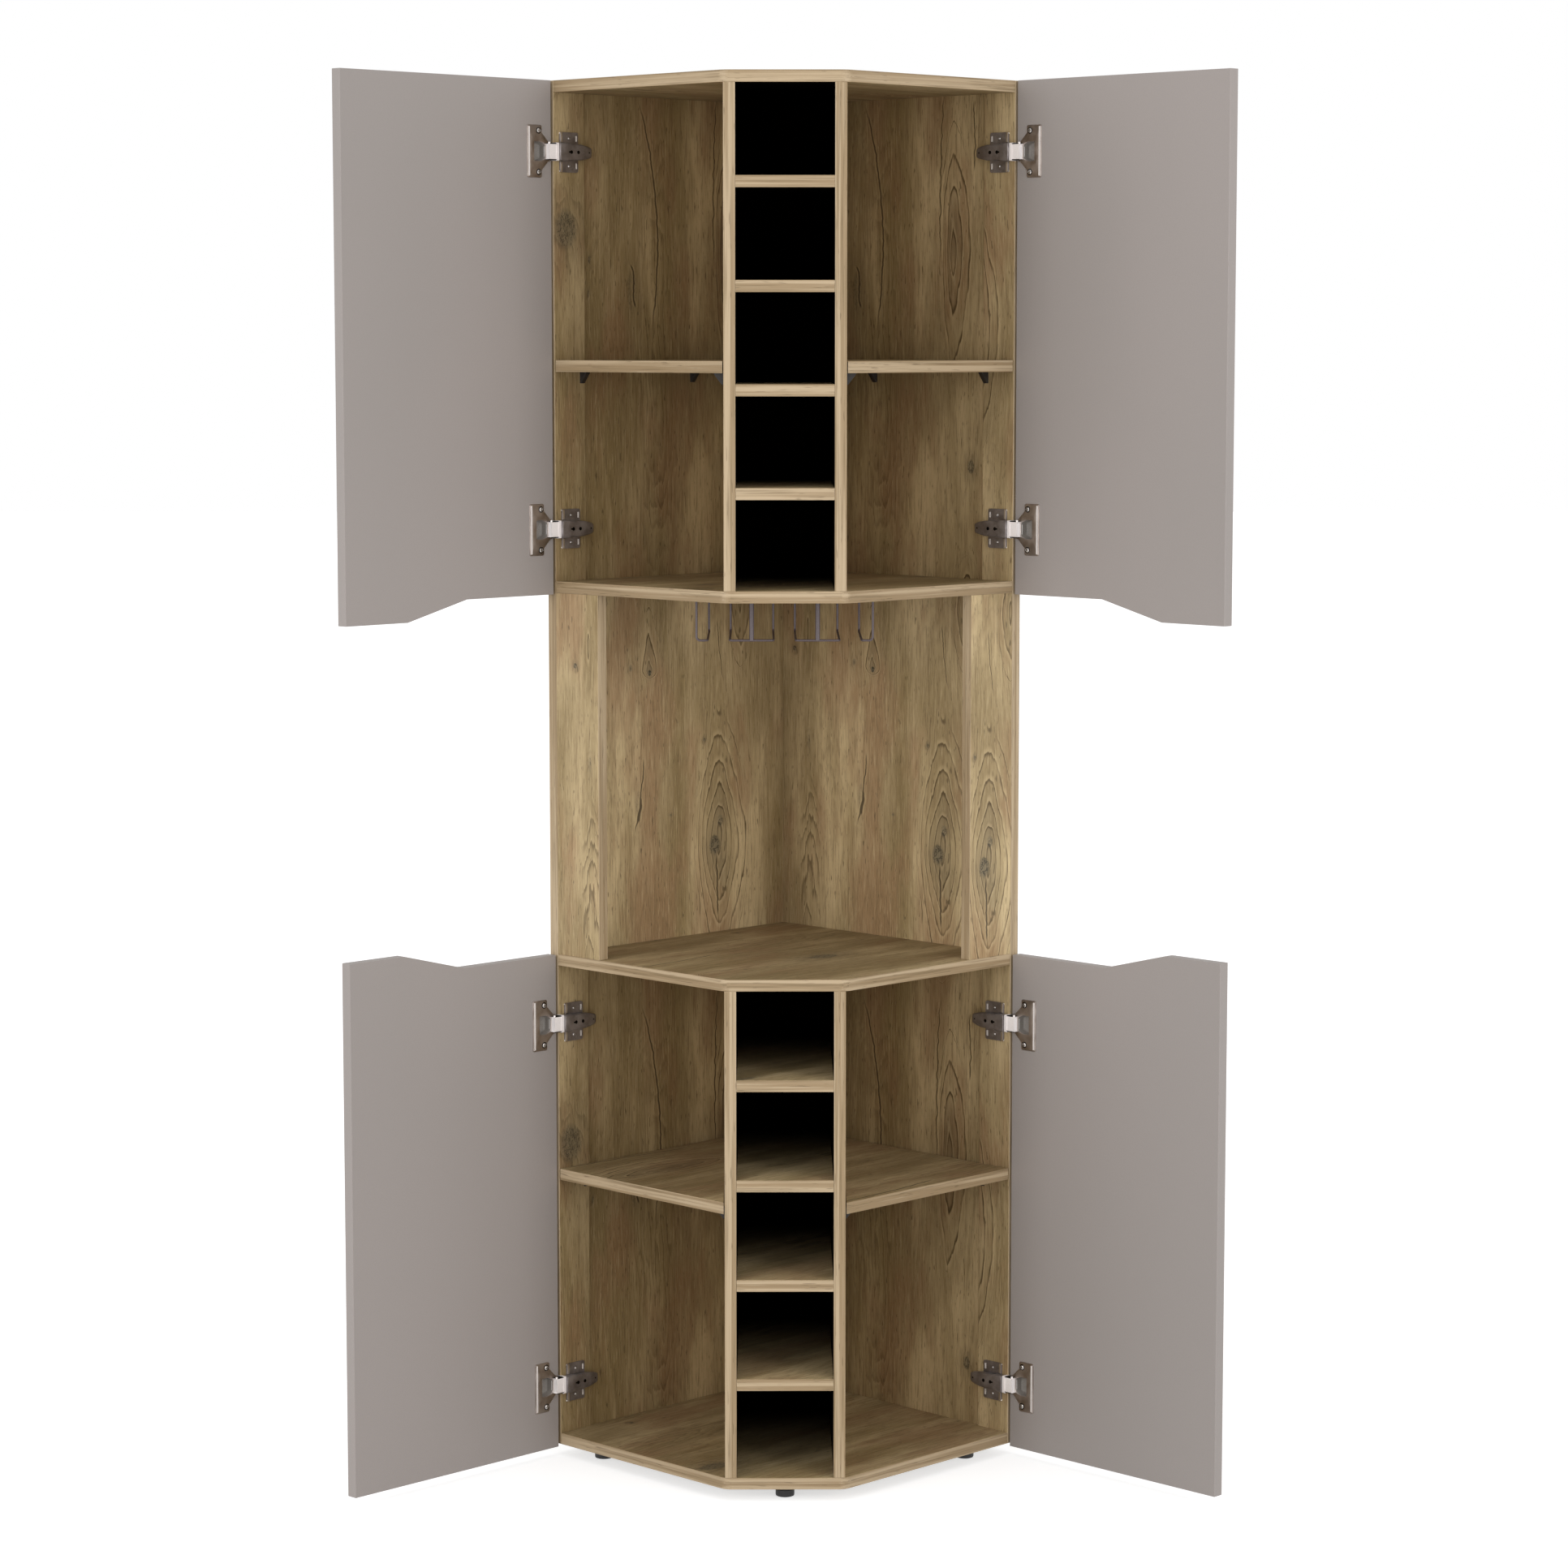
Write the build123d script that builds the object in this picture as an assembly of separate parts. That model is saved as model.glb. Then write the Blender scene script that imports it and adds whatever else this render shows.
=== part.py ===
from build123d import *
import math
import os

os.makedirs("parts", exist_ok=True)

# A corner bar cabinet with four doors standing open, in millimetres with +Z up.
# In plan the two walls meet at a right angle in the room's corner. The front is a narrow
# centre column with a facet on each side, and each facet is square to its wall.
# X runs to the right and Y into the corner. The floor is Z = 0.

# Boards and heights
board = 15.0
back_board = 12.0
total_height = 1800.0
foot_height = 15.0
niche_height = 473.0
cubbies_per_bay = 5

# Plan
column_width = 153.0
facet = 310.0
stile_depth = 53.0
front_rounding = 20.0

# Loose side shelves and their plastic supports
side_shelf_gap = 1.2
side_shelf_share = 0.4313
support_reach = 12.0
support_drop = 15.0
support_width = 7.0
support_lip = 2.0
support_pin_radius = 2.5
support_pin_length = 8.0
support_on_stile = 47.0
support_on_wall = 248.5
upright_support_shares = (0.11, 0.74)

# Open niche
strip_width = 79.0

# Doors
door_overlap = 2.0
upper_door_drop = 0.0
lower_door_drop = 1.0
door_tongue = 25.0
door_reach = 21.8
door_edge_reveal = 0.5
door_front_gap = 3.2
door_open_offset = 1.2
upper_slope_shares = (0.426, 0.710)
lower_slope_shares = (0.457, 0.741)

# Concealed hinges: cup and flange on the door
hinge_above_low_edge = 84.5
hinge_below_top_edge = 90.5
cup_radius = 17.5
cup_depth = 12.0
cup_from_edge = 22.5
cup_wall = 1.0
flange_thickness = 1.0
flange_start = 1.5
flange_neck = 7.0
flange_shoulder = 18.0
flange_end = 41.5
flange_height = 67.0
flange_nose_height = 26.0
cup_screw_from_edge = 22.0
cup_screw_spacing = 52.6
ear_inner = 6.0
hinge_running_gap = 0.35

# Concealed hinges: mounting plate, arm and link on the stile
plate_start = 9.5
plate_end = 41.0
plate_height = 51.0
plate_thickness = 2.0
plate_corner = 3.0
plate_screw_from_front = 25.0
plate_slot_from_front = 37.5
plate_ear_spacing = 35.0
plate_slot_width = 3.0
plate_slot_height = 8.0
arm_start = 2.5
arm_head_end = 16.8
arm_end = 60.0
arm_rise = 11.0
arm_tail_rise = 8.0
arm_wall = 1.2
arm_head_height = 23.0
arm_body_height = 20.0
arm_tail_height = 13.0
arm_channel_end = 46.0
arm_screw_places = (22.0, 34.0)
arm_eye_from_front = 54.0
arm_eye_radius = 1.0
arm_side_play = 0.1
link_front = -13.8
link_top = 8.0
link_height = 19.4
link_collar_length = 4.0
link_collar_rise = 1.0
link_lip_thickness = 1.5
link_lip_reach = 5.0
link_lip_height = 8.0

# Screws of the hinges and of the rack
small_shank_radius = 1.6
small_head_radius = 2.5
small_head_height = 1.0
cup_head_radius = 3.2
cup_head_height = 1.5
small_screw_length = 12.0
arm_screw_radius = 2.4
arm_screw_sink = 0.4
arm_screw_depth = 5.0
socket_width = 2.2
socket_depth = 0.8

# Bent wire rack that hangs under the niche's ceiling
wire_radius = 1.5
wire_bend = 5.0
rack_slot = 28.4
rack_loop_width = 55.8
rack_outer_step = 14.0
rack_front = 125.0
rack_depth = 155.0
rack_drop = 55.0
post_radius = 3.0
bar_width = 12.0
bar_thickness = 2.0
bar_overhang = 8.0
bar_screw_inset = 30.0

# Feet
foot_radius = 12.5
front_foot_inset = 28.0
side_foot_depth = 34.0
side_foot_inset = 47.0
rear_foot_inset = 59.0
foot_bore_radius = 4.6
foot_bore_depth = 6.0
foot_screw_head_radius = 4.0
foot_screw_head_height = 3.0
foot_screw_length = 19.0

# Hidden joinery
dowel_radius = 4.0
dowel_in_face = 9.0
dowel_in_end = 18.0
dowel_shares = (0.15, 0.85)
back_screw_radius = 1.75
back_screw_head_radius = 3.6
back_screw_head_height = 2.5
back_screw_length = 30.0
back_screw_shares = (0.12, 0.5, 0.88)
corner_screw_shares = (0.04, 0.27, 0.5, 0.73, 0.96)
fit = 0.05

# Worked out from the sizes above
diagonal = math.sqrt(0.5)
half_column = column_width / 2
corner_x = half_column + facet * diagonal
corner_y = facet * diagonal
recess = board - back_board
wall_length = corner_x / diagonal
rear_inner_y = corner_y + corner_x + recess / diagonal
bay_height = (total_height - foot_height - niche_height - 4 * board) / 2
bottom_z = foot_height
niche_floor_z = bottom_z + board + bay_height
upper_floor_z = niche_floor_z + board + niche_height
top_z = total_height - board
cubby_height = (bay_height - (cubbies_per_bay - 1) * board) / cubbies_per_bay
door_width = board - door_edge_reveal + facet + door_reach
door_height = bay_height + 2 * board + door_overlap
side_shelf_space = bay_height * side_shelf_share

# Each door turns about one upright axis in front of the stile. Its two distances, forwards from
# the facet's plane and outwards from the stile's inner face, take the door from standing along
# the wall to lying over the facet.
axis_from_front = (2 * door_front_gap + board - door_edge_reveal - door_open_offset) / 2
axis_outward = (board - door_edge_reveal + door_open_offset) / 2
axis_from_edge = axis_from_front - door_front_gap
axis_in_door = axis_outward - door_open_offset
ear_radius = axis_from_front - hinge_running_gap
link_bottom = axis_from_front - axis_outward

# The cabinet's plan is modelled with Y = 0 at the column's front, then centred on its own depth.
open_front_y = corner_y - (door_front_gap + door_width - door_open_offset) * diagonal
outer_rear_y = corner_y + corner_x + board / diagonal
plan_middle_y = (open_front_y + outer_rear_y) / 2

LOW = (Align.MIN, Align.MIN, Align.MIN)
ON_BASE = (Align.CENTER, Align.CENTER, Align.MIN)

# Frames of the left side. In the first, X runs along the wall into the corner and Y outwards.
# On the stile's inner face, X runs along the wall, Y up and Z into the cabinet.
# On the open door's inner face, X runs from the hinge edge to the free end, Y up and Z outwards.
side_frame = Plane(origin=(-corner_x, corner_y, 0), x_dir=(1, 1, 0), z_dir=(0, 0, 1)).location
stile_frame = side_frame * Plane(origin=(0, 0, 0), x_dir=(1, 0, 0), z_dir=(0, -1, 0)).location
door_plane = Plane(origin=(-door_front_gap, door_open_offset, 0), x_dir=(-1, 0, 0), z_dir=(0, 1, 0))
door_frame = side_frame * door_plane.location


def save(name, shapes):
    """Write one piece, or a group of like pieces, centred on the cabinet's depth."""
    placed = [Pos(0, -plan_middle_y, 0) * solid for shape in shapes for solid in shape.solids()]
    whole = placed[0] if len(placed) == 1 else Compound(children=placed)
    export_step(whole, f"parts/{name}.step")


def mirrored(shape):
    """The same piece on the cabinet's other side."""
    return mirror(shape, about=Plane.YZ)


def both_sides(shapes):
    """The pieces of the left side, followed by those of the right."""
    return shapes + [mirrored(shape) for shape in shapes]


def block(x_range, y_range, z_range):
    """A box between three pairs of coordinates."""
    ranges = (x_range, y_range, z_range)
    sizes = [high - low for low, high in ranges]
    return Pos(*[low for low, high in ranges]) * Box(*sizes, align=LOW)


def upright_range(height):
    """The range of a height centred on zero."""
    return (-height / 2, height / 2)


def side_point(along, outward):
    """The plan point at a distance along the left wall and outwards from its inner face."""
    return (-corner_x + (along - outward) * diagonal, corner_y + (along + outward) * diagonal)


def along_at(x, outward):
    """How far along the left wall a line at this offset reaches a given X."""
    return (x + corner_x) / diagonal + outward


def prism(points, low, height):
    """A board whose outline is a closed polygon in plan."""
    return Pos(0, 0, low) * extrude(make_face(Polyline(*points, close=True)), height)


def rod(start, direction, radius, length):
    """A round bar from a point along a direction."""
    place = Plane(origin=start, z_dir=direction).location
    return place * Cylinder(radius, length, align=ON_BASE)


def dowel_and_holes(face_point, into_end):
    """A dowel across a joint: short in the board's face behind, long in the board's end ahead."""
    direction = Vector(*into_end).normalized()
    start = Vector(*face_point) - direction * dowel_in_face
    length = dowel_in_face + dowel_in_end
    return rod(start, direction, dowel_radius, length), rod(start, direction, dowel_radius + fit, length)


def headed_screw(head, shank_radius, head_radius, head_height, length):
    """A screw along +Z with its head below zero and its shank above, and a cross in the head."""
    place = Plane(origin=head, z_dir=(0, 0, 1)).location
    body = Cylinder(shank_radius, length, align=ON_BASE)
    cap = Pos(0, 0, -head_height) * Cylinder(head_radius, head_height, align=ON_BASE)
    cross_width = head_radius / 4
    cross_reach = head_radius * 5 / 8
    cross_depth = head_height / 2
    slot = block((-cross_reach, cross_reach), (-cross_width / 2, cross_width / 2), (0, cross_depth))
    cross = Pos(0, 0, -head_height) * (slot + Rot(0, 0, 90) * slot)
    return place * (body + cap - cross)


def small_screw(head):
    """One of the small screws of the hinge plates and of the rack."""
    return headed_screw(head, small_shank_radius, small_head_radius, small_head_height, small_screw_length)


def screw_hole(head, shank_radius, length):
    """The clearance hole for such a screw's shank, upwards from its head's seat."""
    return Pos(*head) * Cylinder(shank_radius + fit, length, align=ON_BASE)


# Hidden joinery, and the holes that it needs in each board
holes = {}
board_dowels = []
cubby_dowels = []


def drill(node, hole):
    """Remember a hole in a board."""
    holes.setdefault(node, []).append(hole)


def drilled(node, shape):
    """A board with its remembered holes cut."""
    for hole in holes.get(node, []):
        shape = shape - hole
    return shape


def join(face_node, end_node, face_point, into_end, dowels):
    """Dowel one board's end to another board's face."""
    dowel, hole = dowel_and_holes(face_point, into_end)
    dowels.append(dowel)
    drill(face_node, hole)
    drill(end_node, hole)


def join_both_sides(face_node, end_node, face_point, into_end, dowels):
    """Dowel a joint of the left side and its mirror image; {} in a node's name takes the side."""
    x, y, z = face_point
    dx, dy, dz = into_end
    join(face_node.format("left"), end_node.format("left"), (x, y, z), (dx, dy, dz), dowels)
    join(face_node.format("right"), end_node.format("right"), (-x, y, z), (-dx, dy, dz), dowels)


panel_heights = {
    "bottom_panel": bottom_z,
    "niche_floor_panel": niche_floor_z,
    "upper_floor_panel": upper_floor_z,
    "top_panel": top_z,
}
bays = {
    "lower": (bottom_z + board, "bottom_panel", "niche_floor_panel"),
    "upper": (upper_floor_z + board, "upper_floor_panel", "top_panel"),
}
inner_x = half_column - board
upright_rear_y = rear_inner_y - half_column
cubby_side_y = rear_inner_y - inner_x
upright_middle_x = half_column - board / 2

for bay, (floor_z, floor_panel, ceiling_panel) in bays.items():
    for share in dowel_shares:
        y = upright_rear_y * share
        foot_point = (-upright_middle_x, y, floor_z)
        head_point = (-upright_middle_x, y, floor_z + bay_height)
        upright_node = f"{bay}_upright_" + "{}"
        join_both_sides(floor_panel, upright_node, foot_point, (0, 0, 1), board_dowels)
        join_both_sides(ceiling_panel, upright_node, head_point, (0, 0, -1), board_dowels)

stile_middle = side_point(stile_depth / 2, 0)
for panel, panel_z in panel_heights.items():
    joint = (*stile_middle, panel_z + board / 2)
    join_both_sides("side_stile_{}", panel, joint, (diagonal, -diagonal, 0), board_dowels)

strip_middle = side_point(board / 2, -strip_width / 2)
strip_foot = (*strip_middle, niche_floor_z + board)
strip_head = (*strip_middle, upper_floor_z)
join_both_sides("niche_floor_panel", "niche_strip_{}", strip_foot, (0, 0, 1), board_dowels)
join_both_sides("upper_floor_panel", "niche_strip_{}", strip_head, (0, 0, -1), board_dowels)

cubby_shelf_heights = {}
for bay, (floor_z, floor_panel, ceiling_panel) in bays.items():
    for count in range(1, cubbies_per_bay):
        shelf_z = floor_z + count * cubby_height + (count - 1) * board
        shelf_node = f"{bay}_cubby_shelf_{count}"
        cubby_shelf_heights[shelf_node] = shelf_z
        for share in dowel_shares:
            joint = (-inner_x, cubby_side_y * share, shelf_z + board / 2)
            join_both_sides(f"{bay}_upright_" + "{}", shelf_node, joint, (1, 0, 0), cubby_dowels)


# Loose side shelves rest on wedge-shaped supports whose pins are pushed into the boards.
side_shelf_tops = {
    "upper": upper_floor_z + board + side_shelf_space + board,
    "lower": niche_floor_z - side_shelf_space,
}


def shelf_support():
    """A plastic wedge under a shelf: the wall is at Y = 0, the wedge in +Y and its pin in -Y."""
    profile = [
        (0, 0),
        (support_reach, 0),
        (support_reach, -support_lip),
        (support_lip, -support_drop),
        (0, -support_drop),
    ]
    side_view = Plane(origin=(-support_width / 2, 0, 0), x_dir=(0, 1, 0), z_dir=(1, 0, 0))
    wedge = extrude(side_view * make_face(Polyline(*profile, close=True)), support_width)
    pin = rod((0, 0, -support_drop / 2), (0, -1, 0), support_pin_radius, support_pin_length)
    return wedge + pin


def support_hole(place):
    """The hole for a support's pin."""
    start = (0, 0, -support_drop / 2)
    return place * rod(start, (0, -1, 0), support_pin_radius + fit, support_pin_length)


def support_places(top):
    """Where the left side's four supports stand under a shelf, each with the board it is pinned to."""
    under = top - board
    towards_room = (-1, -1, 0)
    at_stile = (*side_point(support_on_stile, 0), under)
    at_wall = (*side_point(support_on_wall, recess), under)
    places = [
        ("side_stile", Plane(origin=at_stile, x_dir=towards_room, z_dir=(0, 0, 1)).location),
        ("back_panel", Plane(origin=at_wall, x_dir=towards_room, z_dir=(0, 0, 1)).location),
    ]
    for share in upright_support_shares:
        at_upright = (-half_column, upright_rear_y * share, under)
        upright_place = Plane(origin=at_upright, x_dir=(0, 1, 0), z_dir=(0, 0, 1)).location
        places.append(("upright", upright_place))
    return places


shelf_supports = []
for bay, top in side_shelf_tops.items():
    for carrier, place in support_places(top):
        node = f"{bay}_upright" if carrier == "upright" else carrier
        shelf_supports.append(place * shelf_support())
        drill(f"{node}_left", support_hole(place))
        drill(f"{node}_right", mirrored(support_hole(place)))

side_shelf_x = -half_column - side_shelf_gap
side_shelf_points = [
    (side_shelf_x, side_shelf_gap),
    side_point(0, -side_shelf_gap),
    side_point(along_at(side_shelf_x, -side_shelf_gap), -side_shelf_gap),
]


# Hinges, at the same heights on the doors and on the stiles
door_lows = {
    "upper": total_height - upper_door_drop - door_height,
    "lower": niche_floor_z + board - lower_door_drop - door_height,
}
hinge_heights = {}
for bay, low in door_lows.items():
    hinge_heights[bay] = (low + hinge_above_low_edge, low + door_height - hinge_below_top_edge)


def hinge_plate():
    """A cross-shaped mounting plate with two ears, two slots and a raised middle for the arm."""
    length = plate_end - plate_start
    outline = RectangleRounded(length, plate_height, plate_corner)
    plate = Pos(plate_start + length / 2, 0, 0) * extrude(outline, plate_thickness)
    rise_range = (plate_thickness, arm_rise - arm_wall)
    channel = upright_range(arm_body_height - 2 * arm_wall - 2 * arm_side_play)
    plate = plate + block((plate_start, plate_end), channel, rise_range)
    for ear in upright_range(plate_ear_spacing):
        plate = plate - Pos(plate_screw_from_front, ear, 0) * Cylinder(
            small_shank_radius + fit, plate_thickness, align=ON_BASE
        )
        slot = Box(plate_slot_width, plate_slot_height, plate_thickness, align=ON_BASE)
        plate = plate - Pos(plate_slot_from_front, ear, 0) * slot
    for place in arm_screw_places:
        sink = arm_rise - arm_screw_sink - arm_screw_depth
        plate = plate - Pos(place, 0, sink) * Cylinder(arm_screw_radius + fit, arm_rise, align=ON_BASE)
    return plate


def hinge_arm():
    """A pressed steel channel: a taller head at the front and a body that narrows to a round tail."""
    side = [
        (arm_start, plate_thickness),
        (arm_start, arm_rise),
        (plate_end, arm_rise),
        (arm_end, arm_tail_rise),
        (arm_end, plate_thickness),
    ]
    side_view = Plane(origin=(0, arm_head_height / 2, 0), x_dir=(1, 0, 0), z_dir=(0, -1, 0))
    solid = extrude(side_view * make_face(Polyline(*side, close=True)), arm_head_height)
    tail_radius = arm_tail_height / 2
    outline = make_face(
        Polyline(
            (arm_head_end, arm_body_height / 2),
            (plate_end, arm_body_height / 2),
            (arm_end - tail_radius, tail_radius),
            (arm_end - tail_radius, -tail_radius),
            (plate_end, -arm_body_height / 2),
            (arm_head_end, -arm_body_height / 2),
            close=True,
        )
    )
    tail = Pos(arm_end - tail_radius, 0, 0) * Cylinder(tail_radius, arm_rise, align=ON_BASE)
    head = block((arm_start, arm_head_end), upright_range(arm_head_height), (0, arm_rise))
    solid = solid & (head + extrude(outline, arm_rise) + tail)
    channel = upright_range(arm_body_height - 2 * arm_wall)
    solid = solid - block((arm_start, arm_channel_end), channel, (0, arm_rise - arm_wall))
    for place in arm_screw_places:
        solid = solid - Pos(place, 0, 0) * Cylinder(arm_screw_radius + fit, arm_rise, align=ON_BASE)
    eye = Pos(arm_eye_from_front, 0, 0) * Cylinder(arm_eye_radius, arm_rise, align=ON_BASE)
    return solid - eye


def hinge_link():
    """The white link: a block in front of the arm, a tail inside it and a lip into the cup."""
    front = block((link_front, arm_start), upright_range(link_height), (link_bottom, link_top))
    collar_range = (arm_start - link_collar_length, arm_start)
    collar_out = (link_bottom, link_top + link_collar_rise)
    collar = block(collar_range, upright_range(arm_head_height), collar_out)
    tail_height = arm_body_height - 2 * arm_wall - 2 * arm_side_play
    tail = block((arm_start, plate_start), upright_range(tail_height), (link_bottom, link_top))
    lip_range = (link_front, link_front + link_lip_thickness)
    lip = block(lip_range, upright_range(link_lip_height), (-link_lip_reach, link_bottom))
    return front + collar + tail + lip


def arm_screw(place):
    """An adjusting screw sunk in the arm, with a square socket."""
    top = arm_rise - arm_screw_sink
    body = Pos(place, 0, top - arm_screw_depth) * Cylinder(arm_screw_radius, arm_screw_depth, align=ON_BASE)
    half = socket_width / 2
    socket = block((place - half, place + half), (-half, half), (top - socket_depth, top))
    return body - socket


def plate_screw(ear):
    """A screw through the mounting plate's ear into the stile."""
    return Rot(0, 180, 0) * small_screw((-plate_screw_from_front, ear, -plate_thickness))


def plate_screw_hole(ear):
    """The pilot hole for that screw in the stile, seen from its inner face."""
    depth = small_screw_length - plate_thickness
    return Pos(plate_screw_from_front, ear, -depth) * Cylinder(
        small_shank_radius + fit, depth, align=ON_BASE
    )


def hinge_cup():
    """A pressed cup in the door's bore, with its flange plate flat on the door's inner face.

    Two ears on the flange are rounded about the door's axis and run close to the link.
    """
    nose = flange_nose_height / 2
    half = flange_height / 2
    outline = [
        (flange_start, nose),
        (flange_neck, nose),
        (flange_shoulder, half),
        (flange_end, half),
        (flange_end, -half),
        (flange_shoulder, -half),
        (flange_neck, -nose),
        (flange_start, -nose),
    ]
    flange = extrude(make_face(Polyline(*outline, close=True)), -flange_thickness)
    cup = Pos(cup_from_edge, 0, 0) * Cylinder(cup_radius - fit, cup_depth, align=ON_BASE)
    hollow_height = cup_depth - cup_wall + flange_thickness
    hollow = Pos(cup_from_edge, 0, -flange_thickness) * Cylinder(
        cup_radius - fit - cup_wall, hollow_height, align=ON_BASE
    )
    sweep_round = rod((axis_from_edge, -half, axis_in_door), (0, 1, 0), ear_radius, flange_height)
    ear_ranges = ((ear_inner, link_height / 2), (-link_height / 2, -ear_inner))
    piece = flange + cup - hollow
    for ear_range in ear_ranges:
        ear_block = block((flange_start, axis_from_edge), ear_range, (-ear_radius, 0))
        piece = piece + (ear_block & sweep_round)
    for ear in upright_range(cup_screw_spacing):
        piece = piece - Pos(cup_screw_from_edge, ear, -flange_thickness) * Cylinder(
            small_shank_radius + fit, flange_thickness, align=ON_BASE
        )
    return piece


def cup_screw(ear):
    """A screw through the cup's flange into the door."""
    seat = (cup_screw_from_edge, ear, -flange_thickness)
    return headed_screw(seat, small_shank_radius, cup_head_radius, cup_head_height, small_screw_length)


def door_panel(bay):
    """The left door: a flat panel with a sloped step down to a tongue at its free end."""
    low = door_lows[bay]
    high = low + door_height
    if bay == "upper":
        plain, stepped, tongue_z, shares = high, low, low - door_tongue, upper_slope_shares
    else:
        plain, stepped, tongue_z, shares = low, high, high + door_tongue, lower_slope_shares
    outline = [
        (0, plain),
        (door_width, plain),
        (door_width, tongue_z),
        (door_width * shares[1], tongue_z),
        (door_width * shares[0], stepped),
        (0, stepped),
    ]
    panel = extrude(make_face(Polyline(*outline, close=True)), board)
    for height in hinge_heights[bay]:
        panel = panel - Pos(cup_from_edge, height, 0) * Cylinder(cup_radius, cup_depth, align=ON_BASE)
        for ear in upright_range(cup_screw_spacing):
            depth = small_screw_length - flange_thickness
            panel = panel - screw_hole((cup_screw_from_edge, height + ear, 0), small_shank_radius, depth)
    return panel


hinge_plates = []
hinge_arms = []
hinge_links = []
plate_screws = []
arm_screws = []
for bay in bays:
    door_cups = []
    door_cup_screws = []
    for height in hinge_heights[bay]:
        on_stile = stile_frame * Pos(0, height, 0)
        on_door = door_frame * Pos(0, height, 0)
        hinge_plates.append(on_stile * hinge_plate())
        hinge_arms.append(on_stile * hinge_arm())
        hinge_links.append(on_stile * hinge_link())
        arm_screws += [on_stile * arm_screw(place) for place in arm_screw_places]
        door_cups.append(on_door * hinge_cup())
        for ear in upright_range(plate_ear_spacing):
            plate_screws.append(on_stile * plate_screw(ear))
            hole = on_stile * plate_screw_hole(ear)
            drill("side_stile_left", hole)
            drill("side_stile_right", mirrored(hole))
        door_cup_screws += [on_door * cup_screw(ear) for ear in upright_range(cup_screw_spacing)]
    panel = door_frame * door_panel(bay)
    save(f"{bay}_left_door_panel", [panel])
    save(f"{bay}_right_door_panel", [mirrored(panel)])
    save(f"{bay}_left_hinge_cups", door_cups)
    save(f"{bay}_right_hinge_cups", [mirrored(cup) for cup in door_cups])
    save(f"{bay}_left_cup_screws", door_cup_screws)
    save(f"{bay}_right_cup_screws", [mirrored(screw) for screw in door_cup_screws])
save("hinge_mounting_plates", both_sides(hinge_plates))
save("hinge_arms", both_sides(hinge_arms))
save("hinge_links", both_sides(hinge_links))
save("hinge_plate_screws", both_sides(plate_screws))
save("hinge_arm_screws", both_sides(arm_screws))
save("shelf_supports", both_sides(shelf_supports))


# Stem rack: wires bent in the rack's own frame, whose ceiling is Z = 0
rack_inner_x = rack_slot / 2
rack_loop_x = rack_inner_x + rack_loop_width
rack_rail_x = rack_loop_x + rack_slot
rack_outer_x = rack_rail_x + rack_outer_step
rack_rear = rack_front + rack_depth
ceiling = upper_floor_z
bar_under = ceiling - bar_thickness
wire_z = ceiling - rack_drop


def wire(points):
    """A round wire along straight runs joined by tangent arcs."""
    path = FilletPolyline(*points, radius=wire_bend)
    start = Plane(origin=points[0], z_dir=Vector(*points[1]) - Vector(*points[0]))
    return sweep(start * Circle(wire_radius), path=path)


outer_rail = wire(
    [
        (-rack_outer_x, rack_front, bar_under),
        (-rack_outer_x, rack_front, wire_z),
        (-rack_rail_x, rack_front, wire_z),
        (-rack_rail_x, rack_rear, wire_z),
        (-rack_rail_x, rack_rear, bar_under),
    ]
)
middle_loop = wire(
    [
        (-rack_loop_x, rack_rear, bar_under),
        (-rack_loop_x, rack_rear, wire_z),
        (-rack_loop_x, rack_front, wire_z),
        (-rack_inner_x, rack_front, wire_z),
        (-rack_inner_x, rack_rear, wire_z),
        (-rack_inner_x, rack_rear, bar_under),
    ]
)
post_x = (rack_inner_x + rack_loop_x) / 2
post = rod((-post_x, rack_front, wire_z), (0, 0, 1), post_radius, bar_under - wire_z)
post = post - rod((-rack_loop_x, rack_front, wire_z), (1, 0, 0), wire_radius + fit, rack_loop_width)

bar_half = rack_outer_x + bar_overhang
screw_x = bar_half - bar_screw_inset
ceiling_bars = []
rack_screws = []
for y in (rack_front, rack_rear):
    bar = block((-bar_half, bar_half), (y - bar_width / 2, y + bar_width / 2), (bar_under, ceiling))
    for x in (-screw_x, screw_x):
        seat = (x, y, bar_under)
        hole = screw_hole(seat, small_shank_radius, small_screw_length)
        bar = bar - hole
        drill("upper_floor_panel", hole)
        rack_screws.append(small_screw(seat))
    ceiling_bars.append(bar)
save("stem_rack_outer_rails", both_sides([outer_rail]))
save("stem_rack_middle_loops", both_sides([middle_loop]))
save("stem_rack_posts", both_sides([post]))
save("stem_rack_ceiling_bars", ceiling_bars)
save("stem_rack_screws", rack_screws)


# Feet, each held by a screw from below
side_foot_x, side_foot_y = side_point(side_foot_depth, -side_foot_inset)
foot_places = {
    "front_foot": (0, front_foot_inset),
    "left_foot": (side_foot_x, side_foot_y),
    "right_foot": (-side_foot_x, side_foot_y),
    "rear_foot": (0, rear_inner_y - rear_foot_inset),
}
foot_screws = []
for node, (x, y) in foot_places.items():
    seat = (x, y, foot_bore_depth)
    shank_hole = screw_hole(seat, back_screw_radius, foot_screw_length)
    foot = Pos(x, y, 0) * Cylinder(foot_radius, foot_height, align=ON_BASE)
    foot = foot - Pos(x, y, 0) * Cylinder(foot_bore_radius, foot_bore_depth, align=ON_BASE)
    save(node, [foot - shank_hole])
    drill("bottom_panel", shank_hole)
    foot_screws.append(
        headed_screw(
            seat, back_screw_radius, foot_screw_head_radius, foot_screw_head_height, foot_screw_length
        )
    )
save("foot_screws", foot_screws)


# Screws through the back panels, seen in the left wall's frame with the head at the outer face
back_length = wall_length + recess - stile_depth


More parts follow.
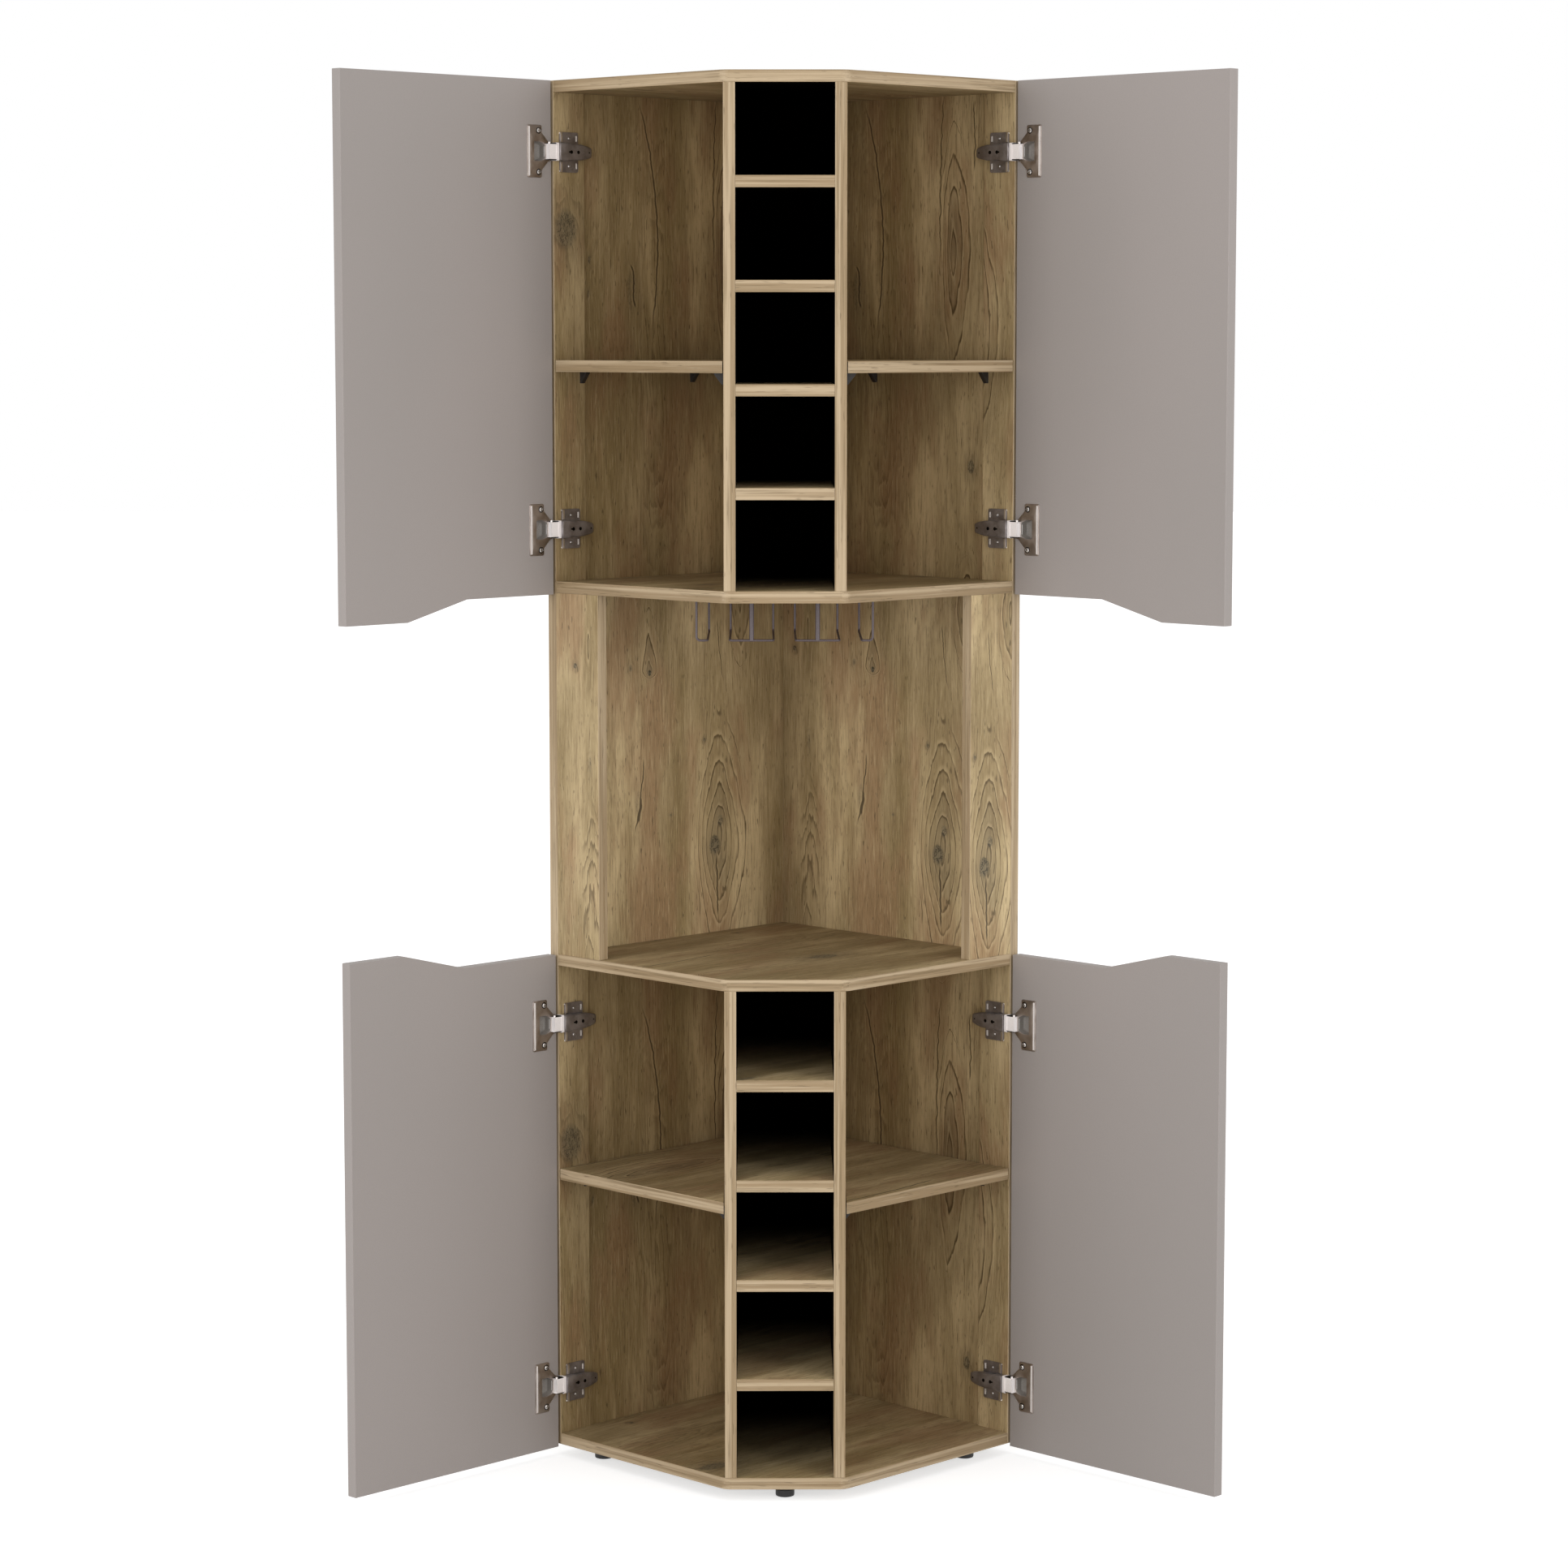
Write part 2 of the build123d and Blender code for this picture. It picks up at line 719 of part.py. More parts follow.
def back_screw():
    """A screw whose flush head lies below zero and whose tip points along +Z."""
    return headed_screw(
        (0, 0, back_screw_head_height),
        back_screw_radius,
        back_screw_head_radius,
        back_screw_head_height,
        back_screw_length - back_screw_head_height,
    )


def back_screw_hole():
    """The counterbored hole for that screw."""
    bore = Cylinder(back_screw_head_radius + fit, back_screw_head_height, align=ON_BASE)
    return bore + Cylinder(back_screw_radius + fit, back_screw_length, align=ON_BASE)


back_screws = []
for panel, panel_z in panel_heights.items():
    for share in back_screw_shares:
        start = (stile_depth + back_length * share, board, panel_z + board / 2)
        place = side_frame * Plane(origin=start, x_dir=(1, 0, 0), z_dir=(0, -1, 0)).location
        back_screws += both_sides([place * back_screw()])
        hole = place * back_screw_hole()
        drill("back_panel_left", hole)
        drill("back_panel_right", mirrored(hole))
        drill(panel, hole)
        drill(panel, mirrored(hole))
for share in corner_screw_shares:
    height = foot_height + (total_height - foot_height) * share
    start = (wall_length + recess + back_board / 2, board, height)
    place = side_frame * Plane(origin=start, x_dir=(1, 0, 0), z_dir=(0, -1, 0)).location
    back_screws.append(place * back_screw())
    drill("back_panel_left", place * back_screw_hole())
    drill("back_panel_right", place * back_screw_hole())
save("back_panel_screws", back_screws)
save("board_dowels", board_dowels)
save("cubby_shelf_dowels", cubby_dowels)


# Boards of the carcass
panel_left_half = [
    (-half_column, 0),
    side_point(0, 0),
    side_point(stile_depth, 0),
    side_point(stile_depth, recess),
]
panel_points = panel_left_half + [(0, rear_inner_y)] + [(-x, y) for x, y in reversed(panel_left_half)]
for node, panel_z in panel_heights.items():
    face = make_face(Polyline(*panel_points, close=True))
    face = fillet(face.vertices().sort_by(Axis.Y)[:2], front_rounding)
    save(node, [drilled(node, Pos(0, 0, panel_z) * extrude(face, board))])

upright_points = [
    (-half_column, 0),
    (-inner_x, 0),
    (-inner_x, cubby_side_y),
    (-half_column, upright_rear_y),
]
cubby_points = [
    (-inner_x, 0),
    (inner_x, 0),
    (inner_x, cubby_side_y),
    (0, rear_inner_y),
    (-inner_x, cubby_side_y),
]
for bay, (floor_z, floor_panel, ceiling_panel) in bays.items():
    upright = prism(upright_points, floor_z, bay_height)
    save(f"{bay}_upright_left", [drilled(f"{bay}_upright_left", upright)])
    save(f"{bay}_upright_right", [drilled(f"{bay}_upright_right", mirrored(upright))])
    side_shelf = prism(side_shelf_points, side_shelf_tops[bay] - board, board)
    save(f"{bay}_side_shelf_left", [side_shelf])
    save(f"{bay}_side_shelf_right", [mirrored(side_shelf)])
for node, shelf_z in cubby_shelf_heights.items():
    save(node, [drilled(node, prism(cubby_points, shelf_z, board))])

full_height = (foot_height, total_height)
stile = side_frame * block((0, stile_depth), (0, board), full_height)
strip = side_frame * block((0, board), (-strip_width, 0), (niche_floor_z + board, upper_floor_z))
back_left = side_frame * block((stile_depth, wall_length + board), (recess, board), full_height)
back_right = side_frame * block((stile_depth, wall_length + recess), (recess, board), full_height)
save("side_stile_left", [drilled("side_stile_left", stile)])
save("side_stile_right", [drilled("side_stile_right", mirrored(stile))])
save("niche_strip_left", [drilled("niche_strip_left", strip)])
save("niche_strip_right", [drilled("niche_strip_right", mirrored(strip))])
save("back_panel_left", [drilled("back_panel_left", back_left)])
save("back_panel_right", [drilled("back_panel_right", mirrored(back_right))])
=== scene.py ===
import math

import bmesh
import bpy
import numpy as np
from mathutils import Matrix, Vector


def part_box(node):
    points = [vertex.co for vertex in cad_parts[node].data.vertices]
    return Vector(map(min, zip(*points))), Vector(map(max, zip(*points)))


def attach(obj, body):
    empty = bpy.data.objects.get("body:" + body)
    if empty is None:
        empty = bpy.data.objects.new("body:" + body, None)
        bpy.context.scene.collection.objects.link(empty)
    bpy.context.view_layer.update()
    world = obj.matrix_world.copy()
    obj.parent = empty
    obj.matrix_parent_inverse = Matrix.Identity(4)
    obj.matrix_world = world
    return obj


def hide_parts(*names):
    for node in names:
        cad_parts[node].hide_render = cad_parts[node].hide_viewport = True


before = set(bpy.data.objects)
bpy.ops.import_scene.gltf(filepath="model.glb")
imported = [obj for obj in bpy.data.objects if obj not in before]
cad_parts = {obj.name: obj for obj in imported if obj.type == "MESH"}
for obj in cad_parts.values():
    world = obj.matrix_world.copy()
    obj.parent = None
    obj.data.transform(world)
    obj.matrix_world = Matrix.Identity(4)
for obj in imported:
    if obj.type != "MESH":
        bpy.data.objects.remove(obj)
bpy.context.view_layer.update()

# The corner bar cabinet, in metres. Its boards are softened copies of the frame's boards, covered
# with a printed oak foil. The hinges and feet are surfaces worked out here.
mm = 0.001
half_root = math.sqrt(0.5)

column_low, column_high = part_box("upper_upright_left")
half_column, inner_x, front_y = -column_low.x, -column_high.x, column_low.y
rear_corner_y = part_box("upper_cubby_shelf_1")[1].y
bottom_face_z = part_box("bottom_panel")[1].z
niche_floor_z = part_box("niche_floor_panel")[0].z
upper_floor_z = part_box("upper_floor_panel")[1].z
top_low, top_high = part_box("top_panel")

UP = (0, 0, 1)
RIGHTWARDS = (1, 0, 0)
LEFT_WALL_WAY = (half_root, half_root, 0)
LEFT_WALL_OUT = (-half_root, half_root, 0)
RIGHT_WALL_WAY = (-half_root, half_root, 0)
RIGHT_WALL_OUT = (half_root, half_root, 0)


class Number:
    """A number that a shader works out at each point, for plain arithmetic."""

    def __init__(self, nodes, socket):
        self.nodes, self.socket = nodes, socket

    def __add__(self, other):
        return self.nodes.calc("ADD", self, other)

    def __radd__(self, other):
        return self.nodes.calc("ADD", other, self)

    def __sub__(self, other):
        return self.nodes.calc("SUBTRACT", self, other)

    def __rsub__(self, other):
        return self.nodes.calc("SUBTRACT", other, self)

    def __mul__(self, other):
        return self.nodes.calc("MULTIPLY", self, other)

    def __truediv__(self, other):
        return self.nodes.calc("DIVIDE", self, other)

    def __rtruediv__(self, other):
        return self.nodes.calc("DIVIDE", other, self)

    def __mod__(self, other):
        return self.nodes.calc("FLOORED_MODULO", self, other)

    def __pow__(self, power):
        return self.nodes.calc("POWER", self, power)

    def __abs__(self):
        return self.nodes.calc("ABSOLUTE", self)

    def __lt__(self, other):
        return self.nodes.calc("LESS_THAN", self, other)

    def __gt__(self, other):
        return self.nodes.calc("GREATER_THAN", self, other)

    def times_plus(self, factor, term):
        return self.nodes.calc("MULTIPLY_ADD", self, factor, term)

    def most(self, other):
        return self.nodes.calc("MAXIMUM", self, other)

    def least(self, other):
        return self.nodes.calc("MINIMUM", self, other)

    def eased(self, low, high, to_low=0.0, to_high=1.0):
        """Eased from to_low at low to to_high at high, and held there beyond them."""
        made = self.nodes.node(
            "ShaderNodeMapRange", Value=self, From_Min=low, From_Max=high, To_Min=to_low, To_Max=to_high
        )
        made.interpolation_type = "SMOOTHSTEP"
        return Number(self.nodes, made.outputs[0])


class Nodes:
    """A node tree that grows by one plain call at a time."""

    def __init__(self, tree):
        self.tree = tree

    def set(self, socket, value):
        """Give a socket a number, a colour or what another node puts out."""
        if isinstance(value, Number):
            value = value.socket
        if isinstance(value, bpy.types.NodeSocket):
            self.tree.links.new(value, socket)
        else:
            socket.default_value = value

    def node(self, kind, **inputs):
        """A new node; an underscore stands for a space in an input's name."""
        made = self.tree.nodes.new(kind)
        for name, value in inputs.items():
            self.set(made.inputs[name.replace("_", " ")], value)
        return made

    def calc(self, operation, *values):
        made = self.node("ShaderNodeMath")
        made.operation = operation
        for socket, value in zip(made.inputs, values):
            self.set(socket, value)
        return Number(self, made.outputs[0])

    def mix(self, share, first, second):
        """Two colours mixed by a share, which is held between nought and one."""
        made = self.node("ShaderNodeMix")
        made.data_type = "RGBA"
        for number, value in ((0, share), (6, first), (7, second)):
            self.set(made.inputs[number], value)
        return made.outputs[2]

    def layers(self, tone, *layers):
        """A colour with screen colours laid over it in turn, each by its own share."""
        for share, colour in layers:
            tone = self.mix(share, tone, srgb(*colour))
        return tone

    def noise(self, vector, detail, roughness):
        made = self.node("ShaderNodeTexNoise", Vector=vector, Scale=1.0, Detail=detail, Roughness=roughness)
        return Number(self, made.outputs[0])

    def split(self, vector):
        return [Number(self, part) for part in self.node("ShaderNodeSeparateXYZ", Vector=vector).outputs]

    def object_place(self):
        return self.node("ShaderNodeTexCoord").outputs["Object"]

    def grain(self, waves, detail, roughness):
        """Noise over the object, with so many waves per metre along X, Y and Z."""
        scaled = self.node("ShaderNodeMapping", Vector=self.object_place(), Scale=waves)
        return self.noise(scaled.outputs[0], detail, roughness)

    def looked_at(self):
        """One for rays of the camera, of gloss and of clear matter, and nought for the others."""
        rays = self.node("ShaderNodeLightPath").outputs
        shiny = self.calc("MAXIMUM", rays["Is Glossy Ray"], rays["Is Transmission Ray"])
        return shiny.most(rays["Is Camera Ray"])


class Finish(Nodes):
    """A material."""

    def __init__(self, name):
        self.material = bpy.data.materials.new(name)
        self.material.use_nodes = True
        super().__init__(self.material.node_tree)
        self.shader = self.tree.nodes["Principled BSDF"]

    def surface(self, **inputs):
        """Set the shader's inputs; an underscore stands for a space in an input's name."""
        for name, value in inputs.items():
            self.set(self.shader.inputs[name.replace("_", " ")], value)

    def bump(self, height, strength, distance):
        made = self.node("ShaderNodeBump", Height=height, Strength=strength, Distance=distance)
        self.surface(Normal=made.outputs[0])


def srgb(red, green, blue):
    """A screen colour from 0 to 255 as the linear colour that the shader takes."""
    value = np.array([red, green, blue]) / 255
    linear = np.where(value <= 0.04045, value / 12.92, ((value + 0.055) / 1.055) ** 2.4)
    return (*[float(part) for part in linear], 1.0)


# Printed oak foil. Its figure repeats every foil_length along the grain and foil_width across it.
foil_length = 1.195
foil_width = 1.0
ring_pitch = 0.0092
# Trunks that the foil was cut from: where the pith runs across the foil, where along the grain it
# comes nearest to the surface, and how deep it lies half a repeat further on.
foil_trunks = (
    (-0.075, 0.90, 0.09),
    (0.052, 0.590, 0.13),
    (0.176, 0.250, 0.10),
    (0.300, 0.765, 0.13),
    (0.425, 0.100, 0.11),
    (0.560, 0.980, 0.12),
    (0.690, 0.420, 0.10),
    (0.800, 0.720, 0.13),
    (0.925, 0.900, 0.09),
    (1.052, 0.590, 0.13),
)
# Knots: place across and along the grain, half width of the core, height over width, how many
# growth rings swell round it and how grey and cracked its core is.
foil_knots = (
    (0.289, 0.790, 0.0105, 1.3, 1.2, 0.8),
    (0.300, 0.822, 0.0055, 1.5, 0.6, 0.6),
    (0.169, 1.030, 0.0032, 1.3, 0.8, 1.0),
    (0.022, 1.051, 0.0034, 1.1, 0.8, 0.9),
    (0.1345, 1.038, 0.0032, 1.6, 0.6, 0.55),
    (0.049, 0.925, 0.0030, 3.4, 0.8, 0.35),
    (0.148, 0.855, 0.0050, 4.0, 0.8, 0.35),
    (0.207, 0.837, 0.0022, 0.7, 0.2, 0.7),
    (0.270, 0.934, 0.0022, 1.4, 0.2, 0.8),
    (0.140, 0.338, 0.0090, 3.2, 1.0, 0.35),
    (0.064, 0.378, 0.0024, 2.4, 0.2, 0.7),
    (0.062, 0.334, 0.0022, 2.4, 0.2, 0.6),
    (0.345, 0.110, 0.0060, 1.6, 1.2, 0.8),
    (0.470, 0.417, 0.0200, 1.3, 2.0, 0.75),
    (0.700, 0.300, 0.0110, 2.2, 2.0, 0.8),
    (0.860, 0.640, 0.0090, 2.6, 2.0, 0.8),
    (0.790, 0.980, 0.0130, 1.9, 2.0, 0.9),
    (0.960, 0.130, 0.0070, 2.4, 1.5, 0.8),
)
# Long drying cracks: where they start and end across and along the grain, how far they bow to
# one side and their width.
foil_cracks = (
    (0.150, 0.592, 0.174, 0.284, 0.0225, 0.0011),
    (0.2945, 0.600, 0.290, 0.370, -0.003, 0.0008),
    (0.346, 0.585, 0.348, 0.490, 0.002, 0.0008),
    (0.137, 0.374, 0.142, 0.344, 0.003, 0.0012),
    (0.143, 0.352, 0.147, 0.316, -0.003, 0.0012),
    (0.292, 0.778, 0.294, 0.690, 0.001, 0.0012),
    (0.158, 0.920, 0.141, 0.815, 0.003, 0.0009),
    (0.1515, 0.866, 0.146, 0.830, 0.002, 0.0016),
    (0.2945, 1.100, 0.3065, 1.012, -0.002, 0.0006),
    (0.640, 0.420, 0.655, 0.200, 0.005, 0.0012),
    (0.905, 0.900, 0.890, 0.700, -0.006, 0.0012),
)
# Eyes, where the growth rings close round a place: its middle across and along the grain, how far
# the outermost ring reaches to either side, down and up, and how many rings there are.
foil_eyes = (
    (0.297, 0.790, 0.042, 0.056, 0.165, 0.176, 4.0),
    (0.338, 1.120, 0.026, 0.030, 0.092, 0.070, 2.0),
    (0.312, 0.390, 0.026, 0.036, 0.170, 0.165, 3.0),
    (0.168, 1.034, 0.017, 0.017, 0.014, 0.085, 2.0),
    (0.0475, 1.080, 0.007, 0.007, 0.038, 0.036, 1.0),
    (0.560, 0.300, 0.040, 0.060, 0.200, 0.150, 5.0),
    (0.800, 0.560, 0.050, 0.050, 0.150, 0.200, 5.0),
)
# Lengthwise stretches that are paler or darker: middle across the grain, half width and how much
# paler, or darker below zero.
foil_stripes = (
    (0.015, 0.055, -0.30),
    (0.320, 0.080, 0.32),
    (0.475, 0.040, -0.25),
    (0.612, 0.045, 0.35),
)
# Stretches where the rings of a trunk show strongly: middle across and along the grain, half
# width and half length.
foil_figures = (
    (0.052, 0.760, 0.018, 0.115),
    (0.500, 0.900, 0.030, 0.150),
    (0.920, 0.350, 0.030, 0.150),
)


class Foil:
    """The printed picture of oak, as a shader sees it at one point of a board."""

    def __init__(self, finish):
        self.finish = finish
        attribute = finish.node("ShaderNodeAttribute")
        attribute.attribute_name = "foil"
        self.way_across, along, self.shade = finish.split(attribute.outputs["Vector"])
        self.across = self.way_across % foil_width
        self.along = along % foil_length
        self.bend = 0.0
        turn = along * (2 * math.pi / foil_length)
        self.ahead = finish.calc("COSINE", turn)
        self.aside = finish.calc("SINE", turn)

    def noise(self, across_per_metre, along_per_metre, seed, detail=2.0, roughness=0.5):
        """Noise drawn out along the grain, which flows aside by the bend. The way along is wrapped
        round a cylinder, so that it joins up with itself after one repeat."""
        seed_step = 9.7
        reach = along_per_metre * foil_length / (2 * math.pi)
        across = (self.way_across + self.bend).times_plus(across_per_metre, seed * seed_step)
        place = self.finish.node("ShaderNodeCombineXYZ", X=across, Y=self.ahead * reach, Z=self.aside * reach)
        return self.finish.noise(place.outputs[0], detail, roughness)

    def apart(self, across, along, half_width, half_length):
        """The squared distance from a place, in shares of a half width and a half length."""
        aside = (self.across - across) / half_width
        ahead = (self.along - along) / half_length
        return aside.times_plus(aside, ahead * ahead)


def trunk_rings(foil):
    """The number of the growth ring at a point, and how near the point is to a pith.

    A ring's number is the distance from the nearest pith over the ring's width. With a pith at
    depth d, deepest * sin(pi * (along - nearest) / foil_length) ** 2, and a point x beside it the
    distance is sqrt(x ** 2 + d ** 2), so the rings close as nested arches over the pith and run
    as straight lines beside it.
    """
    across = foil.across + foil.noise(0.6, 2.4, 1, 1.0).times_plus(0.05, -0.025)
    turn = math.pi / foil_length
    nearest_square = 1.0
    for axis, nearest, deepest in foil_trunks:
        swing = foil.finish.calc("SINE", foil.along.times_plus(turn, -nearest * turn))
        depth = swing * swing * deepest
        aside = across - axis
        nearest_square = aside.times_plus(aside, depth * depth).least(nearest_square)
    nearest_pith = foil.finish.calc("SQRT", nearest_square)
    return nearest_pith / ring_pitch, nearest_pith


def eye_rings(foil, rings):
    """The ring numbers with the eyes laid over them, how far a point is inside an eye and in its
    dark heart, and the bend.

    With u and v the shares of an eye's reach to the side and along the grain, the share of the
    outermost ring is r = (u ** 1.5 + v ** 2) ** 0.6, which gives pointed ovals. The grain flows
    round an eye: a point x beside its middle is moved by -0.6 * x / (1 + 2 * r ** 4).
    """
    inside, heart, bend = 0.0, 0.0, 0.0
    for across, along, left, right, down, up, count in foil_eyes:
        aside, ahead = foil.across - across, foil.along - along
        wide = (aside / right).most(aside / -left)
        tall = (ahead / up).most(ahead / -down)
        share = (wide**1.5 + tall**2.0) ** 0.6
        within = share.eased(0.98, 1.12, 1.0, 0.0)
        rings = within.times_plus(share * count - rings, rings)
        inside = within.most(inside)
        heart = share.eased(0.12, 0.70, 1.0, 0.0).most(heart)
        bend = (aside / (share**4.0).times_plus(2.0, 1.0)).times_plus(-0.6, bend)
    return rings, inside, heart, bend


def growth_rings(foil, knot_swell):
    """How far a point lies past the last ring line, and how near it is to a pith, inside an eye and
    in its heart. The rings waver less inside an eye than outside."""
    rings, nearest_pith = trunk_rings(foil)
    rings, inside, heart, bend = eye_rings(foil, rings)
    ragged = (foil.noise(150, 12, 3, 4.0, 0.7) - 0.5) * inside.times_plus(-1.05, 1.4)
    wander = (foil.noise(34, 8, 4) - 0.5) * inside.times_plus(-2.6, 4.4)
    rings = rings + (ragged + wander - knot_swell)
    foil.bend = bend
    return foil.finish.calc("FRACT", rings), nearest_pith, inside, heart


def knots(foil):
    """How much the rings swell round the knots, and how far a point lies in a knot's core and in
    the halo round it."""
    swell, core, halo = 0.0, 0.0, 0.0
    for across, along, half_width, tall, rings, grey in foil_knots:
        apart = foil.apart(across, along, half_width, half_width * tall)
        swell = swell + rings / apart.times_plus(0.09, 1.0)
        core = apart.eased(0.35, 1.3, grey, 0.0).most(core)
        halo = apart.eased(0.5, 9.0, grey, 0.0).most(halo)
    return swell, core, halo


def figured(foil):
    """How strongly a point lies in one of the stretches where the rings show."""
    shown = 0.0
    for stretch in foil_figures:
        shown = foil.apart(*stretch).eased(0.3, 1.6, 0.8, 0.0).most(shown)
    return shown


def striped(foil):
    """How much paler and how much darker the foil is in its lengthwise stretches."""
    paler, darker = 0.0, 0.0
    half_repeat = foil_width / 2
    for across, half_width, amount in foil_stripes:
        aside = (foil.across + (half_repeat - across)) % foil_width
        apart = abs(aside - half_repeat)
        share = apart.eased(0.6 * half_width, 1.2 * half_width, abs(amount), 0.0)
        if amount > 0:
            paler = paler + share
        else:
            darker = darker + share
    return paler, darker


def cracks(foil):
    """Dark lines that bow along the grain and taper to nothing at both ends, and their pale rims.

    At a share s of its length a crack lies 4 * bow * s * (1 - s) beside the straight line.
    """
    shown, rim = 0.0, 0.0
    shiver = (foil.noise(30, 60, 5) - 0.5) * 0.006
    for across, along, to_across, to_along, bow, width in foil_cracks:
        share = ((foil.along - along) / (to_along - along)).most(0.0).least(1.0)
        bulge = share * (1.0 - share)
        line = bulge.times_plus(4 * bow, share.times_plus(to_across - across, across)) + shiver
        apart = abs(foil.across - line)
        thin = bulge.eased(0.0, 0.12)
        shown = (thin * apart.eased(0.5 * width, 1.9 * width, 1.0, 0.0)).most(shown)
        rim = (thin * apart.eased(2.0 * width, 4.0 * width, 1.0, 0.0)).most(rim)
    return shown, rim


def painted_cubby_shade(finish):
    """How far a point lies in the painted shade of the cubbies, from 0 to 1, and whether it is inside them.

    The cubbies are the space between the uprights in the two bays. Their oak is painted near black as shade:
    the sides and ceilings from the front edge on, and the floors fading from oak at the front to painted
    shade at the rear.
    """
    slack = 0.4 * mm
    x, y, z = finish.split(finish.object_place())
    aside, depth = abs(x), y - front_y
    low_bay = (z > bottom_face_z - slack) * (z < niche_floor_z + slack)
    high_bay = (z > upper_floor_z - slack) * (z < top_low.z + slack)
    in_plan = (aside < inner_x + slack) * (y + aside < rear_corner_y + 1 * mm)
    inside = in_plan * (low_bay + high_bay)
    floor = finish.split(finish.node("ShaderNodeNewGeometry").outputs["Normal"])[2] > 0.5
    # Painted shade: the floors darken towards the rear, and the sides and ceilings are near black from the
    # front edge on.
    dark = floor * depth.eased(0.14, 0.34) + (1.0 - floor) * depth.eased(0.0, 0.012, 0.8, 1.0)
    return inside * dark, inside


def oak_face():
    """The broad faces: fibres, tone bands, growth rings that bend round knots, and cracks, with painted shade
    in the cubbies and on level boards and a little painted light on the cubbies' oak.
    """
    finish = Finish("oak_foil_face")
    foil = Foil(finish)
    knot_swell, knot_core, knot_halo = knots(foil)
    ring, nearest_pith, in_eye, heart = growth_rings(foil, knot_swell)
    crack, crack_rim = cracks(foil)

    broad_line = ring.eased(0.55, 0.90) * ring.eased(0.93, 1.0, 1.0, 0.0)
    thin_line = ring.eased(0.78, 0.93) * ring.eased(0.96, 1.0, 1.0, 0.0)
    ring_shows = foil.noise(13, 4, 6).eased(0.46, 0.68, 0.05, 0.40)
    ring_shows = ring_shows * nearest_pith.eased(0.015, 0.06, 1.2, 0.45)
    ring_shows = ring_shows.most(knot_halo * 0.6).most(figured(foil))
    breaks = foil.noise(45, 16, 16).eased(0.36, 0.60, 0.50, 1.15)
    ring_line = broad_line * ring_shows * (1.0 - in_eye) + thin_line * in_eye * breaks
    ring_light = ring.eased(0.0, 0.30, 1.0, 0.0) * in_eye.most(ring_shows)

    fibre = foil.noise(300, 13, 7, 4.0, 0.72)
    fine = foil.noise(900, 42, 8, 3.0, 0.6)
    band = foil.noise(20, 2.6, 9, 3.0, 0.6)
    blotch = foil.noise(15, 4.5, 10, 3.0, 0.6)
    cloud = foil.noise(9, 3.5, 17)
    fleck = foil.noise(430, 70, 11, 1.0)
    burst = foil.noise(170, 60, 12, 3.0, 0.7)
    burst_line = abs(burst - 0.5).eased(0.0, 0.05, 1.0, 0.0)
    heart_cloud = foil.noise(28, 14, 18).eased(0.34, 0.60, 0.18, 0.56)
    paler, darker = striped(foil)
    # Painted shade of the cubbies, and where the cubbies are.
    dark, in_column = painted_cubby_shade(finish)
    tone = finish.layers(
        finish.mix(band.eased(0.34, 0.64), srgb(147, 126, 86), srgb(200, 177, 135)),
        (paler, (212, 189, 147)),
        (darker, (124, 104, 70)),
        (cloud.eased(0.42, 0.66, 0.0, 0.62), (132, 112, 75)),
        (blotch.eased(0.46, 0.66, 0.0, 0.66), (148, 115, 82)),
        (fibre.eased(0.48, 0.72, 0.0, 0.66), (123, 101, 70)),
        (fibre.eased(0.26, 0.46, 0.55, 0.0), (200, 178, 138)),
        (fine.eased(0.52, 0.70, 0.0, 0.58), (106, 87, 59)),
        (fine.eased(0.30, 0.46, 0.38, 0.0), (198, 178, 140)),
        (heart * heart_cloud, (106, 92, 66)),
        (ring_light * 0.36, (204, 180, 138)),
        (ring_line * 0.80, (82, 65, 40)),
        (fleck.eased(0.66, 0.76, 0.0, 0.68), (83, 68, 45)),
        (knot_halo * 0.34, (111, 96, 72)),
        (knot_core * 0.62, (96, 90, 74)),
        (knot_core * burst_line, (43, 38, 28)),
        (crack_rim * 0.35, (196, 170, 126)),
        (crack * 0.85, (53, 42, 26)),
        # Painted light: the oak in the cubbies is made paler, standing in for the bounce light that their
        # dark walls do not give.
        (in_column * 0.12, (214, 184, 132)),
        # Painted shade: level boards outside the cubbies are darkened.
        (foil.shade * (1.0 - in_column) * 0.20, (50, 40, 26)),
        # Painted shade: near black inside the cubbies.
        (dark, (6, 4, 2)),
    )
    finish.surface(Base_Color=tone, Roughness=fibre.eased(0.2, 0.8, 0.50, 0.62))
    # The painted shade also takes the sheen off the cubbies' insides.
    finish.surface(Specular_IOR_Level=dark.eased(0.0, 1.0, 0.32, 0.02))
    grooves = crack.most(ring_line) + fibre * 1.2
    finish.bump(1.0 - grooves, 0.10, 0.2 * mm)
    return finish.material


def oak_edge():
    """The edge banding: pale, with darker and paler streaks along the edge, and flecks."""
    finish = Finish("oak_edge_banding")
    foil = Foil(finish)
    streak = foil.noise(380, 6, 13, 3.0, 0.65)
    broad = foil.noise(150, 2.0, 14, 1.0)
    fleck = foil.noise(520, 40, 15, 1.0)
    tone = finish.layers(
        finish.mix(broad.eased(0.42, 0.60), srgb(179, 158, 128), srgb(150, 128, 97)),
        (streak.eased(0.50, 0.66, 0.0, 0.58), (116, 98, 69)),
        (streak.eased(0.28, 0.42, 0.5, 0.0), (194, 176, 148)),
        (fleck.eased(0.66, 0.76, 0.0, 0.5), (92, 75, 51)),
    )
    finish.surface(Base_Color=tone, Roughness=0.5, Specular_IOR_Level=0.35)
    finish.bump(streak, 0.1, 0.2 * mm)
    return finish.material


